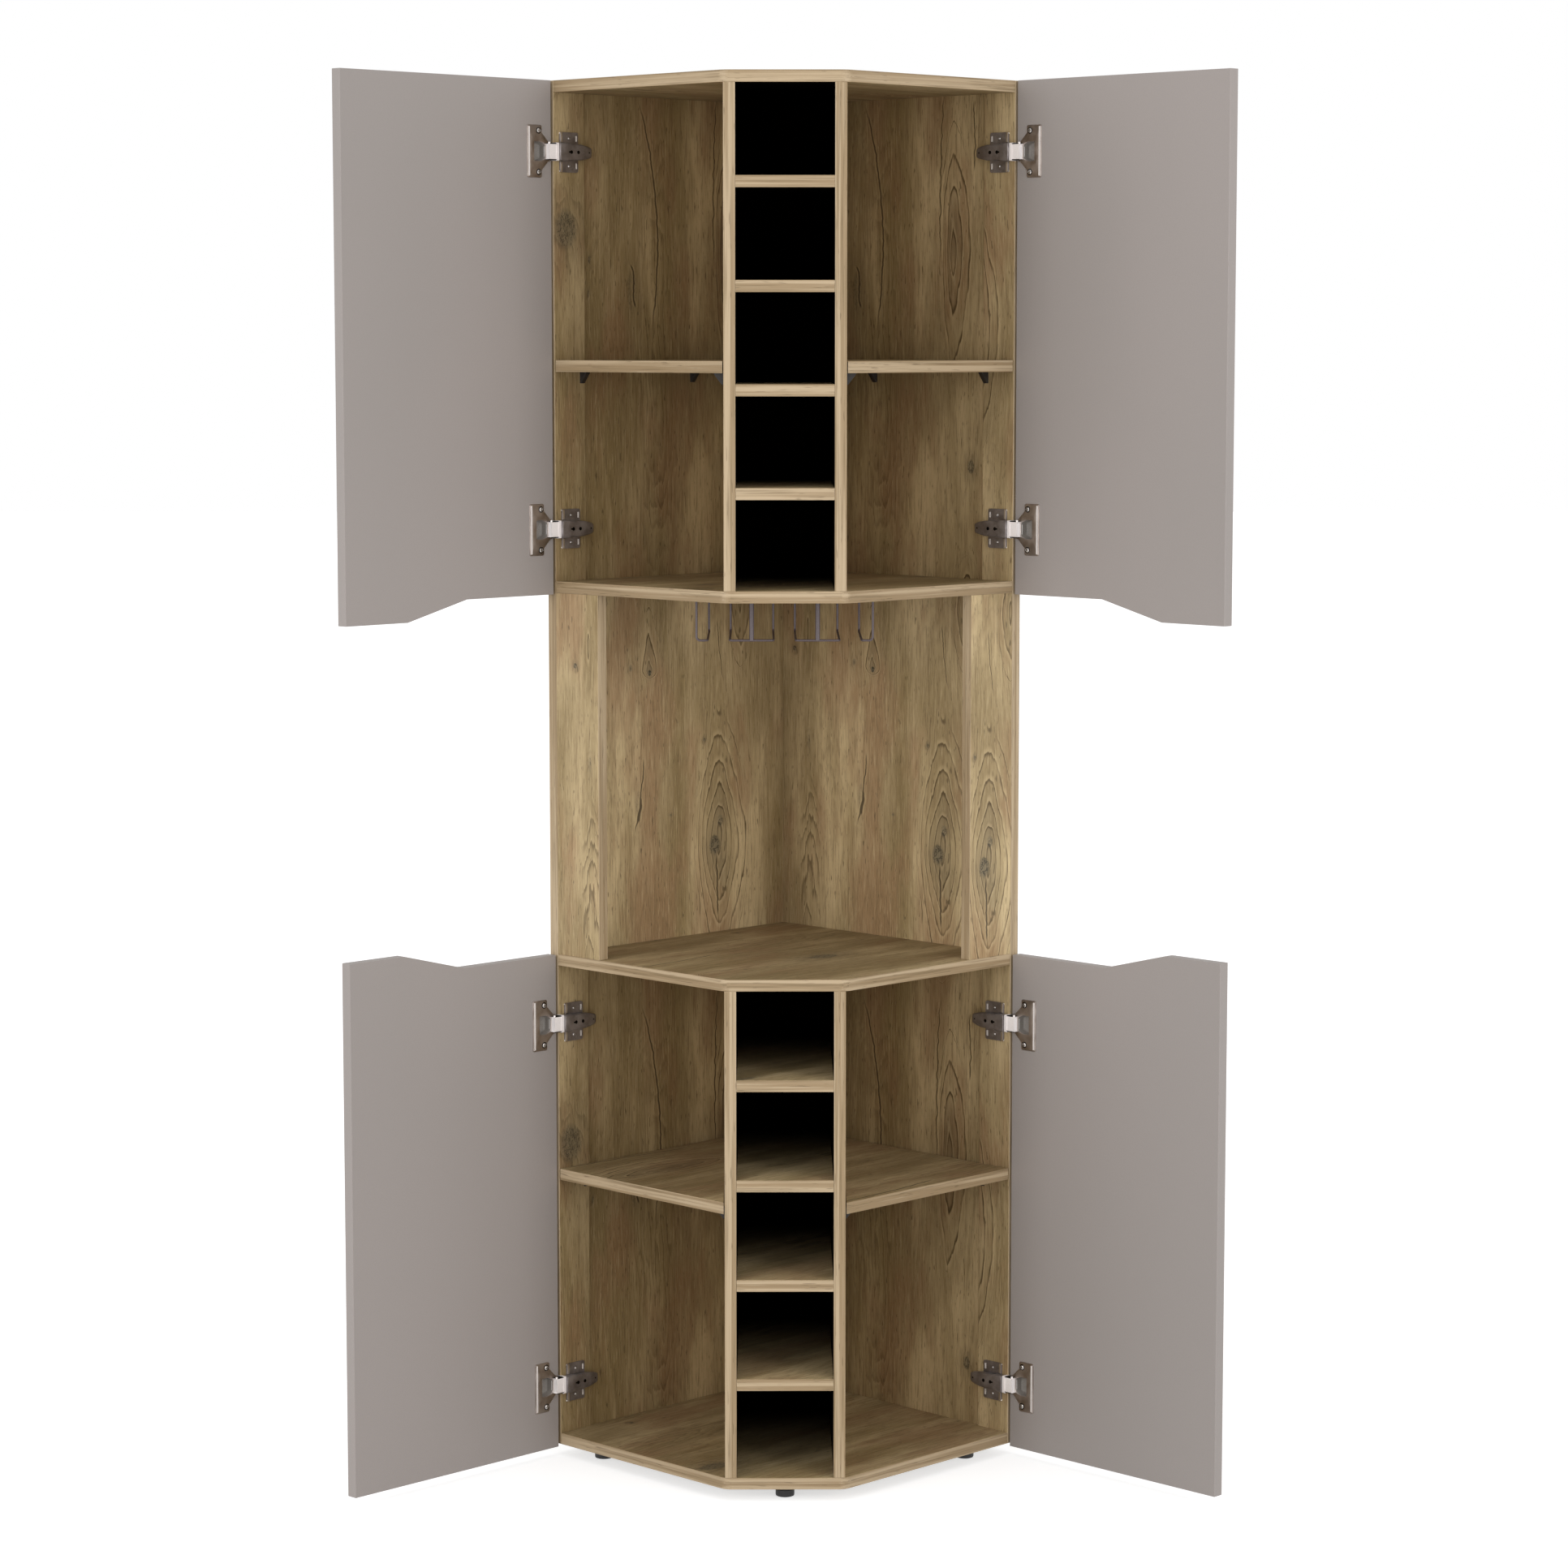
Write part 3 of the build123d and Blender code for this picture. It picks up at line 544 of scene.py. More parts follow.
def door_paint():
    """Matt taupe board: an even colour with a very fine grain in the surface."""
    finish = Finish("taupe_door_foil")
    fine = finish.grain((900, 900, 900), 2.0, 0.6)
    broad = finish.grain((3, 3, 1.5), 2.0, 0.5)
    tone = finish.layers(
        finish.mix(broad.eased(0.3, 0.7), srgb(155, 147, 143), srgb(151, 144, 140)),
        (fine.eased(0.35, 0.75, 0.0, 0.18), (136, 129, 126)),
    )
    finish.surface(Base_Color=tone, Roughness=fine.eased(0.2, 0.8, 0.52, 0.62), Specular_IOR_Level=0.35)
    finish.bump(fine, 0.08, 0.1 * mm)
    return finish.material


def metal(name, light, dark, rough, metallic=1.0):
    """Plated steel with faint smears in its colour and polish."""
    finish = Finish(name)
    smear = finish.grain((60, 60, 60), 3.0, 0.6)
    finish.surface(Base_Color=finish.mix(smear.eased(0.3, 0.7), dark, light), Metallic=metallic)
    finish.surface(Roughness=smear.eased(0.25, 0.75, rough, rough + 0.12))
    finish.bump(smear, 0.05, 0.1 * mm)
    return finish.material


def moulded(name, light, dark, rough, grain=1400):
    """Moulded or coated surface with a fine pebble."""
    finish = Finish(name)
    pebble = finish.grain((grain, grain, grain), 2.0, 0.55)
    finish.surface(Base_Color=finish.mix(pebble.eased(0.3, 0.7), dark, light))
    finish.surface(Roughness=pebble.eased(0.3, 0.7, rough, rough + 0.1))
    finish.bump(pebble, 0.12, 0.15 * mm)
    return finish.material


finishes = {
    "oak_face": oak_face(),
    "oak_edge": oak_edge(),
    "door": door_paint(),
    "hinge_steel": metal("dark_nickel_hinge_steel", srgb(156, 150, 150), srgb(126, 119, 118), 0.30, 0.7),
    "flange_steel": metal("nickel_flange_steel", srgb(178, 168, 162), srgb(156, 146, 140), 0.34),
    # Painted shade: the inside of the cup is a darker matt grey than the nickel flange.
    "cup_inside_painted_shade": moulded("grey_painted_shade_of_cup_hollow", srgb(146, 140, 133), srgb(128, 122, 116), 0.45),
    # Painted highlight: near-white matt paint on the flanges' rims and the plates' keys, standing in for the
    # glint of bright steel.
    "painted_highlight_white": moulded("near_white_painted_highlight", srgb(232, 226, 222), srgb(220, 213, 209), 0.2),
    "lip_steel": metal("pale_lip_steel", srgb(215, 208, 200), srgb(196, 188, 180), 0.36),
    "hinge_link": moulded("white_hinge_link", srgb(253, 247, 245), srgb(246, 239, 237), 0.3),
    "bright_screw": metal("bright_screw_steel", srgb(205, 200, 196), srgb(180, 175, 170), 0.25),
    "black_screw": metal("blackened_screw_steel", srgb(34, 31, 30), srgb(20, 18, 17), 0.4),
    "wire": moulded("coated_rack_wire", srgb(92, 80, 82), srgb(72, 62, 64), 0.36),
    "foot": moulded("black_foot_plastic", srgb(34, 32, 32), srgb(20, 19, 19), 0.45),
    "support": moulded("black_support_plastic", srgb(44, 38, 35), srgb(26, 22, 20), 0.42),
    "dowel": moulded("beech_dowel", srgb(206, 176, 132), srgb(186, 154, 110), 0.6, 600),
}


def welded(node):
    """A node's mesh opened for edits, with its doubled points joined."""
    shape = bmesh.new()
    shape.from_mesh(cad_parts[node].data)
    bmesh.ops.remove_doubles(shape, verts=shape.verts, dist=0.002 * mm)
    return shape


def into_mesh(shape, made):
    """Give an edited shape to a mesh."""
    shape.to_mesh(made)
    shape.free()
    return made


def shade_round(shape, sharp):
    """Shade the faces smooth, but keep edges crisp where they meet at more than sharp degrees."""
    for face in shape.faces:
        face.smooth = True
    for edge in shape.edges:
        edge.smooth = len(edge.link_faces) == 2 and edge.calc_face_angle() < math.radians(sharp)


def softened(node, radius, shortest=1.2 * mm):
    """A copy of a node's mesh, its triangles merged into flat faces and its long edges rounded."""
    flat, crisp = math.radians(0.5), math.radians(40)
    shape = welded(node)
    bmesh.ops.dissolve_limit(
        shape, angle_limit=flat, verts=shape.verts, edges=shape.edges, delimit={"NORMAL"}
    )
    rims = []
    for edge in shape.edges:
        if len(edge.link_faces) == 2 and edge.calc_length() > shortest and edge.calc_face_angle() > crisp:
            rims.append(edge)
    bmesh.ops.bevel(
        shape, geom=rims, offset=radius, segments=2, profile=0.5, affect="EDGES", clamp_overlap=True
    )
    for face in shape.faces:
        face.smooth = False
    return into_mesh(shape, bpy.data.meshes.new(node))


def smoothed(node, sharp=35):
    """A copy of a node's mesh with its triangles joined and its round faces shaded smooth."""
    shape = welded(node)
    shade_round(shape, sharp)
    return into_mesh(shape, bpy.data.meshes.new(node))


def read_out(items, what, width, kind=np.float32):
    """A property of all points, corners or faces of a mesh, as rows of so many numbers."""
    values = np.empty(len(items) * width, kind)
    items.foreach_get(what, values)
    return values.reshape(-1, width) if width > 1 else values


def lay_foil(mesh, along, out, shift):
    """Lay the foil on a board whose grain runs along one way and whose faces look out another.

    On the broad faces a corner's place on the foil is measured across and along the grain. On
    the narrow edges it is measured through the board and along the edge. The third value is how
    far the board lies level, by which its faces get painted shade.
    """
    corners = read_out(mesh.loops, "vertex_index", 1, np.int32)
    counts = read_out(mesh.polygons, "loop_total", 1, np.int32)
    facing = read_out(mesh.polygons, "normal", 3)
    at = read_out(mesh.vertices, "co", 3)[corners]
    across = np.cross(out, along)
    broad = np.abs(facing @ out) > 0.9
    way = np.cross(facing, out)
    way = way / np.maximum(np.linalg.norm(way, axis=1, keepdims=True), 1e-6)
    on_broad = np.repeat(broad, counts)
    ways = np.repeat(way, counts, axis=0)
    place = np.zeros((len(corners), 3))
    place[:, 0] = np.where(on_broad, at @ across, at @ out) + shift[0]
    place[:, 1] = np.where(on_broad, at @ along, np.sum(at * ways, axis=1)) + shift[1]
    # How level the board lies, which sets its painted shade.
    place[:, 2] = abs(out[2])
    attribute = mesh.attributes.new("foil", "FLOAT_VECTOR", "CORNER")
    attribute.data.foreach_set("vector", place.astype(np.float32).ravel())
    mesh.materials.append(finishes["oak_face"])
    mesh.materials.append(finishes["oak_edge"])
    mesh.polygons.foreach_set("material_index", np.where(broad, 0, 1).astype(np.int32))


def stand(name, mesh, slot, *nodes, body="carcass"):
    """Put a mesh into the scene as a piece that rides on a body and stands for its nodes."""
    piece = bpy.data.objects.new(name, mesh)
    bpy.context.scene.collection.objects.link(piece)
    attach(piece, body)
    if nodes:
        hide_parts(*nodes)


# Marks on the boards: the front corners of the left and the right wall, on the floor
left_corner = np.array((-top_high.x, front_y + (top_high.x - half_column), 0.0))
right_corner = left_corner * (-1, 1, 1)


def cut_board(node, along, out, mark, foil_across, foil_along=0.0):
    """An oak board of the carcass, cut so that a mark lies at a place across and along the foil."""
    along, out = np.array(along, float), np.array(out, float)
    across = np.cross(out, along)
    mesh = softened(node, 0.5 * mm)
    lay_foil(mesh, along, out, (foil_across - mark @ across, foil_along - mark @ along))
    stand(f"{node}_oak", mesh, "oak_board", node)


cut_board("back_panel_left", UP, LEFT_WALL_OUT, left_corner, 0.0)
cut_board("back_panel_right", UP, RIGHT_WALL_OUT, right_corner, 0.421)
cut_board("side_stile_left", UP, LEFT_WALL_OUT, left_corner, 0.450)
cut_board("side_stile_right", UP, RIGHT_WALL_OUT, right_corner, 0.640)
cut_board("niche_strip_left", UP, LEFT_WALL_WAY, left_corner, -0.014)
cut_board("niche_strip_right", UP, RIGHT_WALL_WAY, right_corner, 0.341)
for count, node in enumerate(("top_panel", "upper_floor_panel", "niche_floor_panel", "bottom_panel")):
    cut_board(node, LEFT_WALL_WAY, UP, left_corner, 0.05, 0.35 + 0.2 * count)
for bay in ("lower", "upper"):
    cut_board(f"{bay}_upright_left", UP, RIGHTWARDS, left_corner, 0.55)
    cut_board(f"{bay}_upright_right", UP, RIGHTWARDS, left_corner, 0.75)
    cut_board(f"{bay}_side_shelf_left", LEFT_WALL_WAY, UP, left_corner, 0.66, 0.2)
    cut_board(f"{bay}_side_shelf_right", LEFT_WALL_WAY, UP, left_corner, 0.30, 0.6)
    for level in range(1, 5):
        cut_board(f"{bay}_cubby_shelf_{level}", LEFT_WALL_WAY, UP, left_corner, 0.07 * level, 0.1)

doors = [(bay, side) for bay in ("upper", "lower") for side in ("left", "right")]
for bay, side in doors:
    node = f"{bay}_{side}_door_panel"
    mesh = softened(node, 0.5 * mm, 6 * mm)
    mesh.materials.append(finishes["door"])
    stand(f"{node}_taupe", mesh, "door_board", node, body=f"{bay}_{side}_door")


def reach(node, way):
    """The least and greatest distance of a node's points along a way."""
    along = read_out(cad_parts[node].data.vertices, "co", 3) @ np.array(way, float)
    return along.min(), along.max()


class Form:
    """A mesh gathered from several surfaces, each with its own finish."""

    def __init__(self, *names):
        self.names = names
        self.points, self.faces, self.slots, self.count = [], [], [], 0

    def add(self, points, faces, finish=0):
        """Add a surface: points in metres, and faces that name the points by number."""
        self.points.append(points)
        self.faces += [tuple(number + self.count for number in face) for face in faces]
        self.slots += [finish] * len(faces)
        self.count += len(points)

    def put(self, seat, shape, shift=(0, 0, 0), finish=0):
        """Add a shape in a seat, moved along the seat's own ways."""
        points, faces = shape
        self.add(seat.placed(points + shift), faces, finish)

    def mesh(self, name, sharp=38):
        """The whole as one mesh whose faces point outwards and whose flat faces stay crisp."""
        made = bpy.data.meshes.new(name)
        made.from_pydata(np.concatenate(self.points).tolist(), [], self.faces)
        made.polygons.foreach_set("material_index", np.array(self.slots, np.int32))
        for finish in self.names:
            made.materials.append(finishes[finish])
        shape = bmesh.new()
        shape.from_mesh(made)
        bmesh.ops.remove_doubles(shape, verts=shape.verts, dist=0.001 * mm)
        bmesh.ops.recalc_face_normals(shape, faces=shape.faces)
        shade_round(shape, sharp)
        return into_mesh(shape, made)


def loft(sections, open_ends=False):
    """Points and faces of a surface through closed sections of the same number of points.

    Point j of section i joins point j + 1 beside it and the same two points of section i + 1.
    """
    count, around = sections.shape[:2]
    row, column = np.meshgrid(np.arange(count - 1), np.arange(around), indexing="ij")
    here = row * around + column
    beside = row * around + (column + 1) % around
    faces = np.stack((here, beside, beside + around, here + around), -1).reshape(-1, 4).tolist()
    if not open_ends:
        faces.append(list(range(around))[::-1])
        faces.append(list(range((count - 1) * around, count * around)))
    return sections.reshape(-1, 3), faces


def rounded_outline(corners, radius, steps=6):
    """The outline of a plate with rounded corners, anticlockwise.

    At each corner the arc's centre lies at corner - bend * radius * (n1 + n2) / (1 + n1 . n2),
    where n1 and n2 are the outward normals of the sides before and after, and bend is 1 at an
    outer corner and -1 at an inner one. The arc turns from n1 to n2.
    """
    corners = np.array(corners, float)
    sides = np.roll(corners, -1, 0) - corners
    after = np.stack((sides[:, 1], -sides[:, 0]), 1) / np.linalg.norm(sides, axis=1, keepdims=True)
    before = np.roll(after, 1, 0)
    bend = np.sign(before[:, 0] * after[:, 1] - before[:, 1] * after[:, 0])[:, None]
    centres = corners - bend * radius * (before + after) / (1 + np.sum(before * after, 1, keepdims=True))
    start = np.arctan2(before[:, 1], before[:, 0])
    turn = np.arctan2(after[:, 1], after[:, 0]) - start
    turn = (turn + math.pi) % (2 * math.pi) - math.pi
    angles = start[:, None] + turn[:, None] * np.linspace(0, 1, steps)
    arcs = np.stack((np.cos(angles), np.sin(angles)), -1) * bend[:, None] * radius
    return (centres[:, None] + arcs).reshape(-1, 2)


def box_outline(low_x, high_x, low_y, high_y, radius, steps=5):
    corners = ((low_x, low_y), (high_x, low_y), (high_x, high_y), (low_x, high_y))
    return rounded_outline(corners, radius, steps)


def turned(profile, around=32):
    """A surface of revolution about Z: each (radius, height) of the profile is carried round."""
    profile = np.array(profile, float)
    angle = np.linspace(0, 2 * math.pi, around, endpoint=False)
    ring = np.stack((np.cos(angle), np.sin(angle), np.zeros(around)), -1)
    sections = profile[:, 0, None, None] * ring + profile[:, 1, None, None] * np.array((0, 0, 1))
    return loft(sections)


def bar(outline, lengths, insets):
    """A rounded bar along X: an outline in Y and Z, drawn in a little at each end.

    Section i stands at lengths[i], and its outline is moved inwards by insets[i] from its middle.
    """
    middle = (outline.max(0) + outline.min(0)) / 2
    half = (outline.max(0) - outline.min(0)) / 2
    shares = 1 - np.array(insets, float)[:, None, None] / half
    shape = middle + (outline - middle) * shares
    along = np.broadcast_to(np.array(lengths, float)[:, None, None], (len(lengths), len(outline), 1))
    return loft(np.concatenate((along, shape), 2))


def block(along, aside, up, corner, ease):
    """A straight bar between two places along, aside and up, its edges rounded by a corner radius
    and its ends by ease."""
    return bar(box_outline(*aside, *up, corner), *capped(*along, ease))


def capped(low, high, ease):
    """Lengths and insets of a bar whose ends are rounded by ease."""
    turn = np.linspace(0, math.pi / 2, 5)
    start = low + ease * (1 - np.sin(turn))[::-1]
    inset = ease * (1 - np.cos(turn))[::-1]
    lengths = np.concatenate((start[::-1], high - (start[::-1] - low)[::-1]))
    return lengths, np.concatenate((inset, inset[::-1]))


def screw_head(radius, height):
    """A domed head with a cross in it, on a disc of rings and spokes.

    Its height falls outwards as height * (0.25 + 0.75 * (1 - (r / radius) ** 2.6)). The cross is
    cut where the smaller of |x| and |y| is under a sixth of the radius and the larger under 0.62
    of it.
    """
    share = np.concatenate((np.linspace(0.0, 0.9, 10), [0.97, 1.0, 1.0]))
    angle = np.linspace(0, 2 * math.pi, 40, endpoint=False)
    reach_out = radius * share[:, None]
    x, y = reach_out * np.cos(angle), reach_out * np.sin(angle)
    dome = np.broadcast_to(height * (0.25 + 0.75 * (1 - share[:, None] ** 2.6)), x.shape).copy()
    narrow, wide = np.minimum(abs(x), abs(y)), np.maximum(abs(x), abs(y))
    dome -= 0.55 * height * ((narrow < radius / 6) & (wide < 0.62 * radius))
    dome[-1] = 0
    return loft(np.stack((x, y, dome), -1))


# Sizes of the hinges. On the door they run from its hinge edge outwards, on the stile from the
# wall's front edge inwards, to both sides of the hinge's middle, and up from the board's face.
cup_radius = 17.4 * mm
cup_depth = 12 * mm
cup_middle = 22.5 * mm
flange_face = 1.1 * mm
flange_start, flange_neck, flange_shoulder, flange_end = 1.6 * mm, 5.5 * mm, 17 * mm, 41.5 * mm
flange_nose, flange_waist, flange_half = 12.6 * mm, 24 * mm, 33.4 * mm
mouth_long, mouth_half = 12.5 * mm, 12 * mm
cup_screw_place, cup_screw_reach = 22 * mm, 26.3 * mm
plate_front = 9.5 * mm
plate_half = 25.4 * mm
ear_reach = 17.5 * mm
ear_screw_place = 25 * mm
head_half = 11.5 * mm
head_end = 16.8 * mm
key_place = 37.5 * mm
arm_slot = (17.6 * mm, 21 * mm)
# Screws of the arm: place along it, radius and how high the arm is there
arm_screws = (
    (22 * mm, 2.3 * mm, 10.35 * mm),
    (34 * mm, 2.3 * mm, 10.35 * mm),
    (54.5 * mm, 1.0 * mm, 8.6 * mm),
)
link_half = 9.7 * mm
link_front, arm_front = -13.8 * mm, 2.5 * mm
link_base, link_top = -3 * mm, 8 * mm

INTO = (half_root, -half_root, 0)
STILE_WAYS = (LEFT_WALL_WAY, UP, INTO)
DOOR_WAYS = (tuple(-part for part in LEFT_WALL_WAY), UP, LEFT_WALL_OUT)


class Seat:
    """A hinge's own frame on the left side, which is mirrored for a hinge on the right."""

    def __init__(self, ways, edge, face, height, side):
        self.ways = np.array(ways, float)
        self.origin = self.ways[0] * edge + self.ways[2] * face + np.array((0, 0, height))
        self.side = side

    def placed(self, points):
        """Points of the seat's own frame, put in place."""
        at = self.origin + points @ self.ways
        if self.side == "right":
            at = at * (-1, 1, 1)
        return at


def hinge_heights(node):
    """The heights of a door's two hinges, which stand half a flange inside the node's reach."""
    low, high = reach(node, UP)
    return low + flange_half, high - flange_half


def stile_seats():
    """The seats of the eight hinges on the stiles."""
    edge = reach("side_stile_left", LEFT_WALL_WAY)[0]
    face = -reach("side_stile_left", LEFT_WALL_OUT)[0]
    for bay in ("upper", "lower"):
        for height in hinge_heights(f"{bay}_left_hinge_cups"):
            for side in ("left", "right"):
                yield Seat(STILE_WAYS, edge, face, height, side)


def cup_and_flange():
    """The pressed cup with its flange plate, and how many of its faces are the cup's inside.

    It is made of closed rows round the cup's middle, with a point on each spoke towards the
    flange's outline: shares of the cup's mouth, the outline moved in by an inset, and circles,
    each at its own depth in the door. The mouth's radius is (|c / long| ** 3.4 + |s / half| **
    3.4) ** (-1 / 3.4), for a spoke with cosine c and sine s. The rows run over the cup's inside,
    the rim, the flange's face and edge and back round the cup's outside.
    """
    outline = rounded_outline(
        (
            (flange_start, -flange_nose), (flange_neck, -flange_nose), (flange_shoulder, -flange_waist),
            (flange_shoulder, -flange_half), (flange_end, -flange_half), (flange_end, flange_half),
            (flange_shoulder, flange_half), (flange_shoulder, flange_waist), (flange_neck, flange_nose),
            (flange_start, flange_nose),
        ),
        2.4 * mm,
        7,
    )
    middle = np.array((cup_middle, 0.0))
    spoke = outline - middle
    length = np.linalg.norm(spoke, axis=1, keepdims=True)
    spoke = spoke / length
    mouth = (abs(spoke[:, :1] / mouth_long) ** 3.4 + abs(spoke[:, 1:] / mouth_half) ** 3.4) ** (-1 / 3.4)
    mouth_shares = (
        (0.0, cup_depth - 1 * mm), (0.86, cup_depth - 1 * mm), (0.95, cup_depth - 1.6 * mm),
        (1.0, cup_depth - 3 * mm), (1.0, 0.2 * mm), (1.02, -0.6 * mm), (1.06, -flange_face),
    )
    insets = (
        (0.7 * mm, -flange_face), (0.25 * mm, -0.9 * flange_face), (0.0, -0.55 * flange_face), (0.0, 0.0)
    )
    circles = ((cup_radius, 0.0), (cup_radius, cup_depth), (0.0, cup_depth))

    def row(distance, depth):
        return np.concatenate((middle + spoke * distance, np.full((len(spoke), 1), depth)), 1)

    rows = [row(mouth * share, depth) for share, depth in mouth_shares]
    rows += [row(length - inset, depth) for inset, depth in insets]
    rows += [row(radius, depth) for radius, depth in circles]
    inside_rows = 4
    return loft(np.array(rows), open_ends=True), inside_rows * len(outline)


def dress_cups(bay, side):
    """Cup, flange, rim and screws of the two hinges of one door; the cup's inside has painted shade and the
    rim a painted highlight.
    """
    node = f"{bay}_{side}_hinge_cups"
    screw_node = f"{bay}_{side}_cup_screws"
    panel = f"{bay}_left_door_panel"
    edge = -reach(panel, LEFT_WALL_WAY)[1]
    face = reach(panel, LEFT_WALL_OUT)[0]
    (points, faces), inside = cup_and_flange()
    rim_along = (flange_end - 3.6 * mm, flange_end - 1.3 * mm)
    rim_aside = (2 * mm - flange_half, flange_half - 2 * mm)
    rim = block(rim_along, rim_aside, (-2.2 * mm, -0.5 * mm), 0.8 * mm, 0.8 * mm)
    head, head_faces = screw_head(3.3 * mm, 1.7 * mm)
    washer_profile = np.array(((0, 0), (4.1, 0), (4.1, 0.5), (3.6, 0.8), (0, 0.8))) * mm
    washer, washer_faces = turned(washer_profile)
    form = Form("flange_steel", "cup_inside_painted_shade", "painted_highlight_white")
    screws = Form("bright_screw", "black_screw")
    turned_over = (1, 1, -1)
    for height in hinge_heights(node):
        seat = Seat(DOOR_WAYS, edge, face, height, side)
        # The cup's inside takes the painted shade.
        form.put(seat, (points, faces[:inside]), finish=1)
        form.put(seat, (points, faces[inside:]))
        # The rim carries a painted highlight.
        form.put(seat, rim, finish=2)
        for ear in (-cup_screw_reach, cup_screw_reach):
            screws.put(seat, (head * turned_over, head_faces), (cup_screw_place, ear, -0.9 * mm))
            screws.put(seat, (washer * turned_over, washer_faces), (cup_screw_place, ear, -0.8 * mm), 1)
    door = f"{bay}_{side}_door"
    stand(f"{node}_steel", form.mesh(node), "hinge_steel", node, body=door)
    stand(f"{screw_node}_heads", screws.mesh(screw_node), "screw", screw_node, body=door)


def dress_links():
    """The white links with their collars, dark side plates and pin heads."""
    both = (-link_half, link_half)
    body = block((link_front, arm_front), both, (link_base, link_top), 1.6 * mm, 1.4 * mm)
    collar_along = (arm_front - 4.4 * mm, arm_front - 0.6 * mm)
    collar = block(collar_along, (-head_half, head_half), (link_base, link_top + 1 * mm), 1.4 * mm, 1.3 * mm)
    plate_along = (link_front + 2.2 * mm, arm_front - 2 * mm)
    pin_profile = np.array(((0, 0), (1.1, 0), (1.5, 0.5), (1.5, 2.2), (1.0, 2.9), (0, 3.0))) * mm
    pin, pin_faces = turned(pin_profile, 20)
    pin_aside = pin[:, (0, 2, 1)]
    pin_place = (link_front + 2.1 * mm, link_half - 0.4 * mm, link_top - 3 * mm)
    form = Form("hinge_link", "black_screw")
    for seat in stile_seats():
        form.put(seat, body)
        form.put(seat, collar)
        for way in (-1, 1):
            aside = sorted((way * (link_half - 0.6 * mm), way * (link_half + 1.1 * mm)))
            plate = block(plate_along, aside, (link_base, link_top - 1.5 * mm), 0.5 * mm, 0.5 * mm)
            form.put(seat, plate, finish=1)
        form.put(seat, (pin_aside, pin_faces), pin_place)
    stand("hinge_links_white", form.mesh("hinge_links"), "hinge_link", "hinge_links")


def arm_body():
    """The arm as rounded sections along the wall, each with its own half height and top.

    A wide head is followed by a lower body, which narrows and falls to a rounded tail.
    """
    stations = (
        (arm_front, 0.5, 10.2), (arm_front + 0.5 * mm, 0.95, 10.9), (arm_front + 1.4 * mm, 1.0, 11.0),
        (head_end - 1 * mm, 1.0, 11.0), (head_end, 0.97, 10.9), (head_end + 0.1 * mm, 0.90, 10.3),
        (30 * mm, 0.90, 10.3), (41 * mm, 0.86, 10.1), (50 * mm, 0.74, 9.1), (57 * mm, 0.60, 8.1),
        (59.3 * mm, 0.50, 7.6), (60 * mm, 0.36, 7.0),
    )
    base, corner = 1.9 * mm, 1.9 * mm
    rows = []
    for along, share, top in stations:
        outline = box_outline(-head_half * share, head_half * share, base, top * mm, corner)
        rows.append(np.concatenate((np.full((len(outline), 1), along), outline), 1))
    return loft(np.array(rows))


def arm_screw(radius):
    """The flat head of a screw in the arm, a little domed in its middle."""
    low, rim, top = -1 * mm, 0.05 * mm, 0.15 * mm
    return turned(((0, low), (radius, low), (radius, rim), (0.5 * radius, top), (0, top)), 24)


def dress_plates():
    """Mounting plates with bright lips, keys painted near white as a highlight and screws, and the arms with
    their black screws.
    """
    plates = softened("hinge_mounting_plates", 0.35 * mm, 0.9 * mm)
    plates.materials.append(finishes["hinge_steel"])
    stand("hinge_mounting_plates_steel", plates, "hinge_steel", "hinge_mounting_plates")
    arm = arm_body()
    slot = block(arm_slot, (-1.1 * mm, 1.1 * mm), (9.4 * mm, 10.45 * mm), 0.4 * mm, 0.4 * mm)
    head = screw_head(1.9 * mm, 1.3 * mm)
    lip_along = (plate_front, plate_front + 2.2 * mm)
    key_along = (key_place - 1.3 * mm, key_place + 1.2 * mm)
    arms = Form("hinge_steel")
    lips = Form("lip_steel", "painted_highlight_white")
    screws = Form("bright_screw")
    black = Form("black_screw")
    for seat in stile_seats():
        arms.put(seat, arm)
        for place, radius, top in arm_screws:
            black.put(seat, arm_screw(radius), (place, 0, top))
        black.put(seat, slot)
        for way in (-1, 1):
            aside = sorted((way * (head_half + 0.4 * mm), way * plate_half))
            lips.put(seat, block(lip_along, aside, (0.2 * mm, 4.4 * mm), 1.2 * mm, 0.8 * mm))
            middle = way * ear_reach
            key_aside = (middle - 3.8 * mm, middle + 3.8 * mm)
            # The keys in the slots carry a painted highlight.
            lips.put(seat, block(key_along, key_aside, (0.2 * mm, 2.2 * mm), 0.7 * mm, 0.6 * mm), finish=1)
            screws.put(seat, head, (ear_screw_place, middle, 1.9 * mm))
    stand("hinge_arms_steel", arms.mesh("hinge_arms"), "hinge_steel", "hinge_arms")
    stand("hinge_plate_lips", lips.mesh("hinge_plate_lips"), "hinge_steel")
    stand("hinge_plate_screw_heads", screws.mesh("hinge_plate_screws"), "screw", "hinge_plate_screws")
    stand("hinge_arm_screw_heads", black.mesh("hinge_arm_screws"), "black_screw", "hinge_arm_screws")


def foot_form(node):
    """A turned foot: a soft lower rim, a groove two thirds up and a collar under the cabinet."""
    low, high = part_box(node)
    size = np.array(((high.x - low.x) / 2, high.z - low.z))
    profile_shares = (
        (0, 0), (0.86, 0), (0.94, 0.03), (0.97, 0.12), (0.97, 0.58), (0.92, 0.62), (0.92, 0.68),
        (1, 0.72), (1, 0.97), (0.97, 1), (0, 1),
    )
    points, faces = turned(np.array(profile_shares) * size, 48)
    form = Form("foot")
    form.add(points + ((low.x + high.x) / 2, (low.y + high.y) / 2, low.z), faces)
    stand(f"{node}_turned", form.mesh(node, 30), "foot_plastic", node)


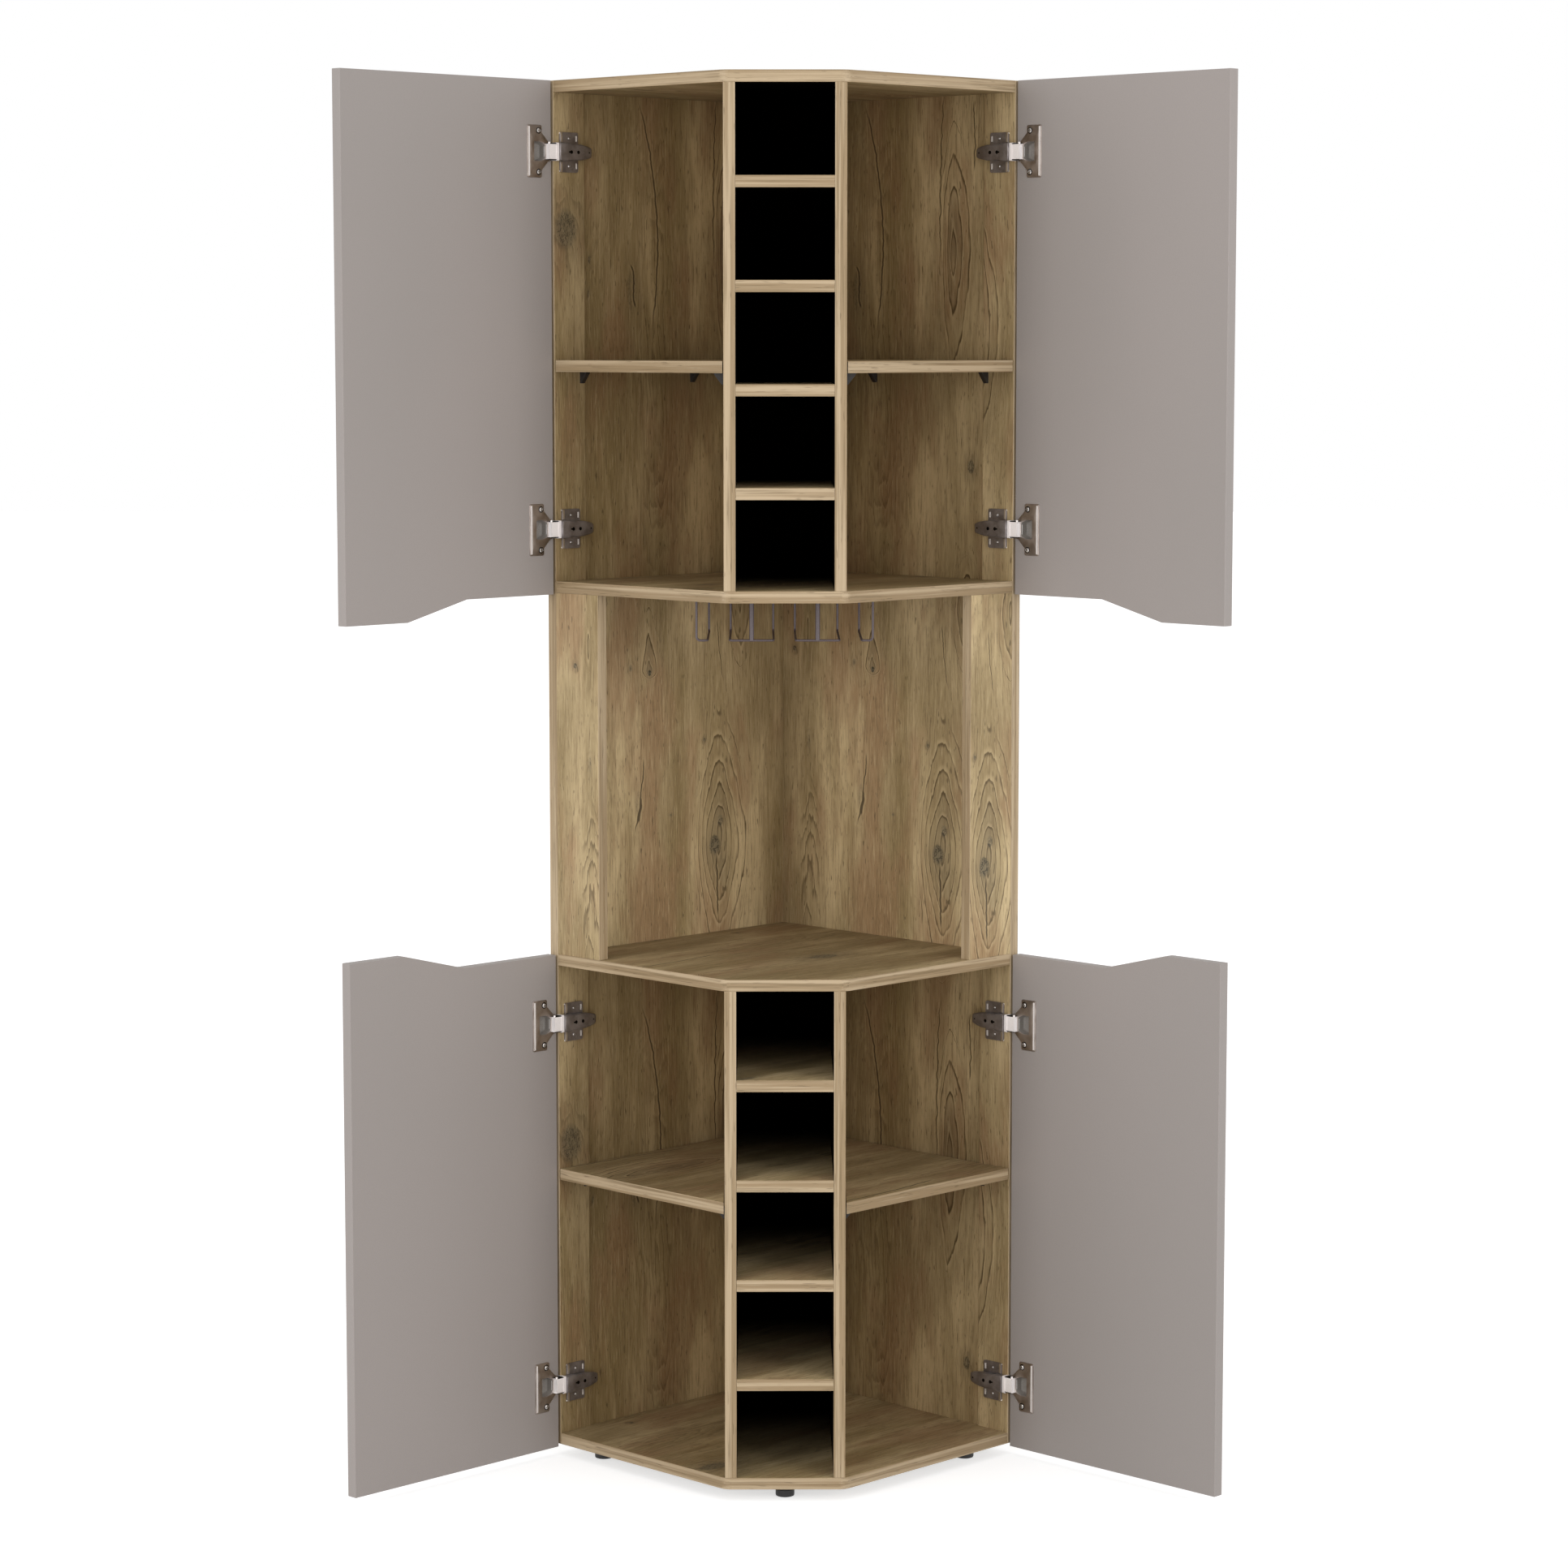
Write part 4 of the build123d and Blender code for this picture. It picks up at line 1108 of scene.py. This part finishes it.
for bay, side in doors:
    dress_cups(bay, side)
dress_links()
dress_plates()
for node in ("front_foot", "left_foot", "right_foot", "rear_foot"):
    foot_form(node)

for node in ("outer_rails", "middle_loops", "posts", "ceiling_bars"):
    mesh = smoothed(f"stem_rack_{node}")
    mesh.materials.append(finishes["wire"])
    stand(f"stem_rack_{node}_wire", mesh, "rack_wire", f"stem_rack_{node}")

wedges = softened("shelf_supports", 0.35 * mm, 1.5 * mm)
wedges.materials.append(finishes["support"])
stand("shelf_supports_moulded", wedges, "support_plastic", "shelf_supports")

# Nodes that are seen as they are, and their finishes
plain_nodes = {
    "stem_rack_screws": "bright_screw",
    "foot_screws": "bright_screw",
    "back_panel_screws": "black_screw",
    "board_dowels": "dowel",
    "cubby_shelf_dowels": "dowel",
}
for node, finish in plain_nodes.items():
    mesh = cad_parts[node].data
    mesh.materials.clear()
    mesh.materials.append(finishes[finish])


# Studio: a white floor, a white surround and soft light
def floor_finish():
    """White floor that takes the cabinet's soft shadow and else looks as white as the surround."""
    finish = Finish("white_studio_floor")
    finish.surface(Base_Color=(0.6, 0.6, 0.6, 1), Roughness=0.9, Specular_IOR_Level=0.1)
    finish.surface(Emission_Color=(1, 1, 1, 1), Emission_Strength=finish.looked_at() * 0.62)
    return finish.material


def lay_floor():
    half, drop = 30.0, -0.5 * mm
    mesh = bpy.data.meshes.new("studio_floor")
    corners = [(-half, -half, drop), (half, -half, drop), (half, half, drop), (-half, half, drop)]
    mesh.from_pydata(corners, [], [(0, 1, 2, 3)])
    mesh.materials.append(floor_finish())
    floor = bpy.data.objects.new("studio_floor", mesh)
    bpy.context.scene.collection.objects.link(floor)


def surround():
    """White to the camera and to gloss, and a softer even light on the cabinet."""
    world = bpy.data.worlds.new("white_surround")
    bpy.context.scene.world = world
    world.use_nodes = True
    nodes = Nodes(world.node_tree)
    background = nodes.tree.nodes["Background"]
    nodes.set(background.inputs["Color"], (1, 1, 1, 1))
    nodes.set(background.inputs["Strength"], nodes.looked_at().eased(0.0, 1.0, 0.91, 1.0))


def soft_lamp(name, place, target, size, watts):
    lamp = bpy.data.lights.new(name, "AREA")
    lamp.shape = "DISK"
    lamp.size = size
    lamp.energy = watts
    made = bpy.data.objects.new(name, lamp)
    bpy.context.scene.collection.objects.link(made)
    made.location = place
    made.rotation_euler = (Vector(target) - Vector(place)).to_track_quat("-Z", "Y").to_euler()


def camera():
    """The photograph's view: from a little below the niche's top, looking slightly down."""
    down, aside = math.radians(6.152), math.radians(-0.276)
    data = bpy.data.cameras.new("photo_camera")
    data.sensor_width = 36
    data.lens = 94.817
    made = bpy.data.objects.new("photo_camera", data)
    made.location = (-0.026127, -5.384707, 1.471296)
    made.rotation_euler = (math.pi / 2 - down, 0, aside)
    bpy.context.scene.collection.objects.link(made)
    bpy.context.scene.camera = made


lay_floor()
surround()
soft_lamp("left_softbox", (-3.2, -3.4, 1.6), (0, 0, 0.95), 2.0, 68)
soft_lamp("right_softbox", (3.2, -3.4, 1.6), (0, 0, 0.95), 2.0, 63)
soft_lamp("front_softbox", (0.0, -4.4, 1.1), (0, 0.1, 0.87), 0.9, 10)
camera()
bpy.context.scene.view_settings.view_transform = "Standard"
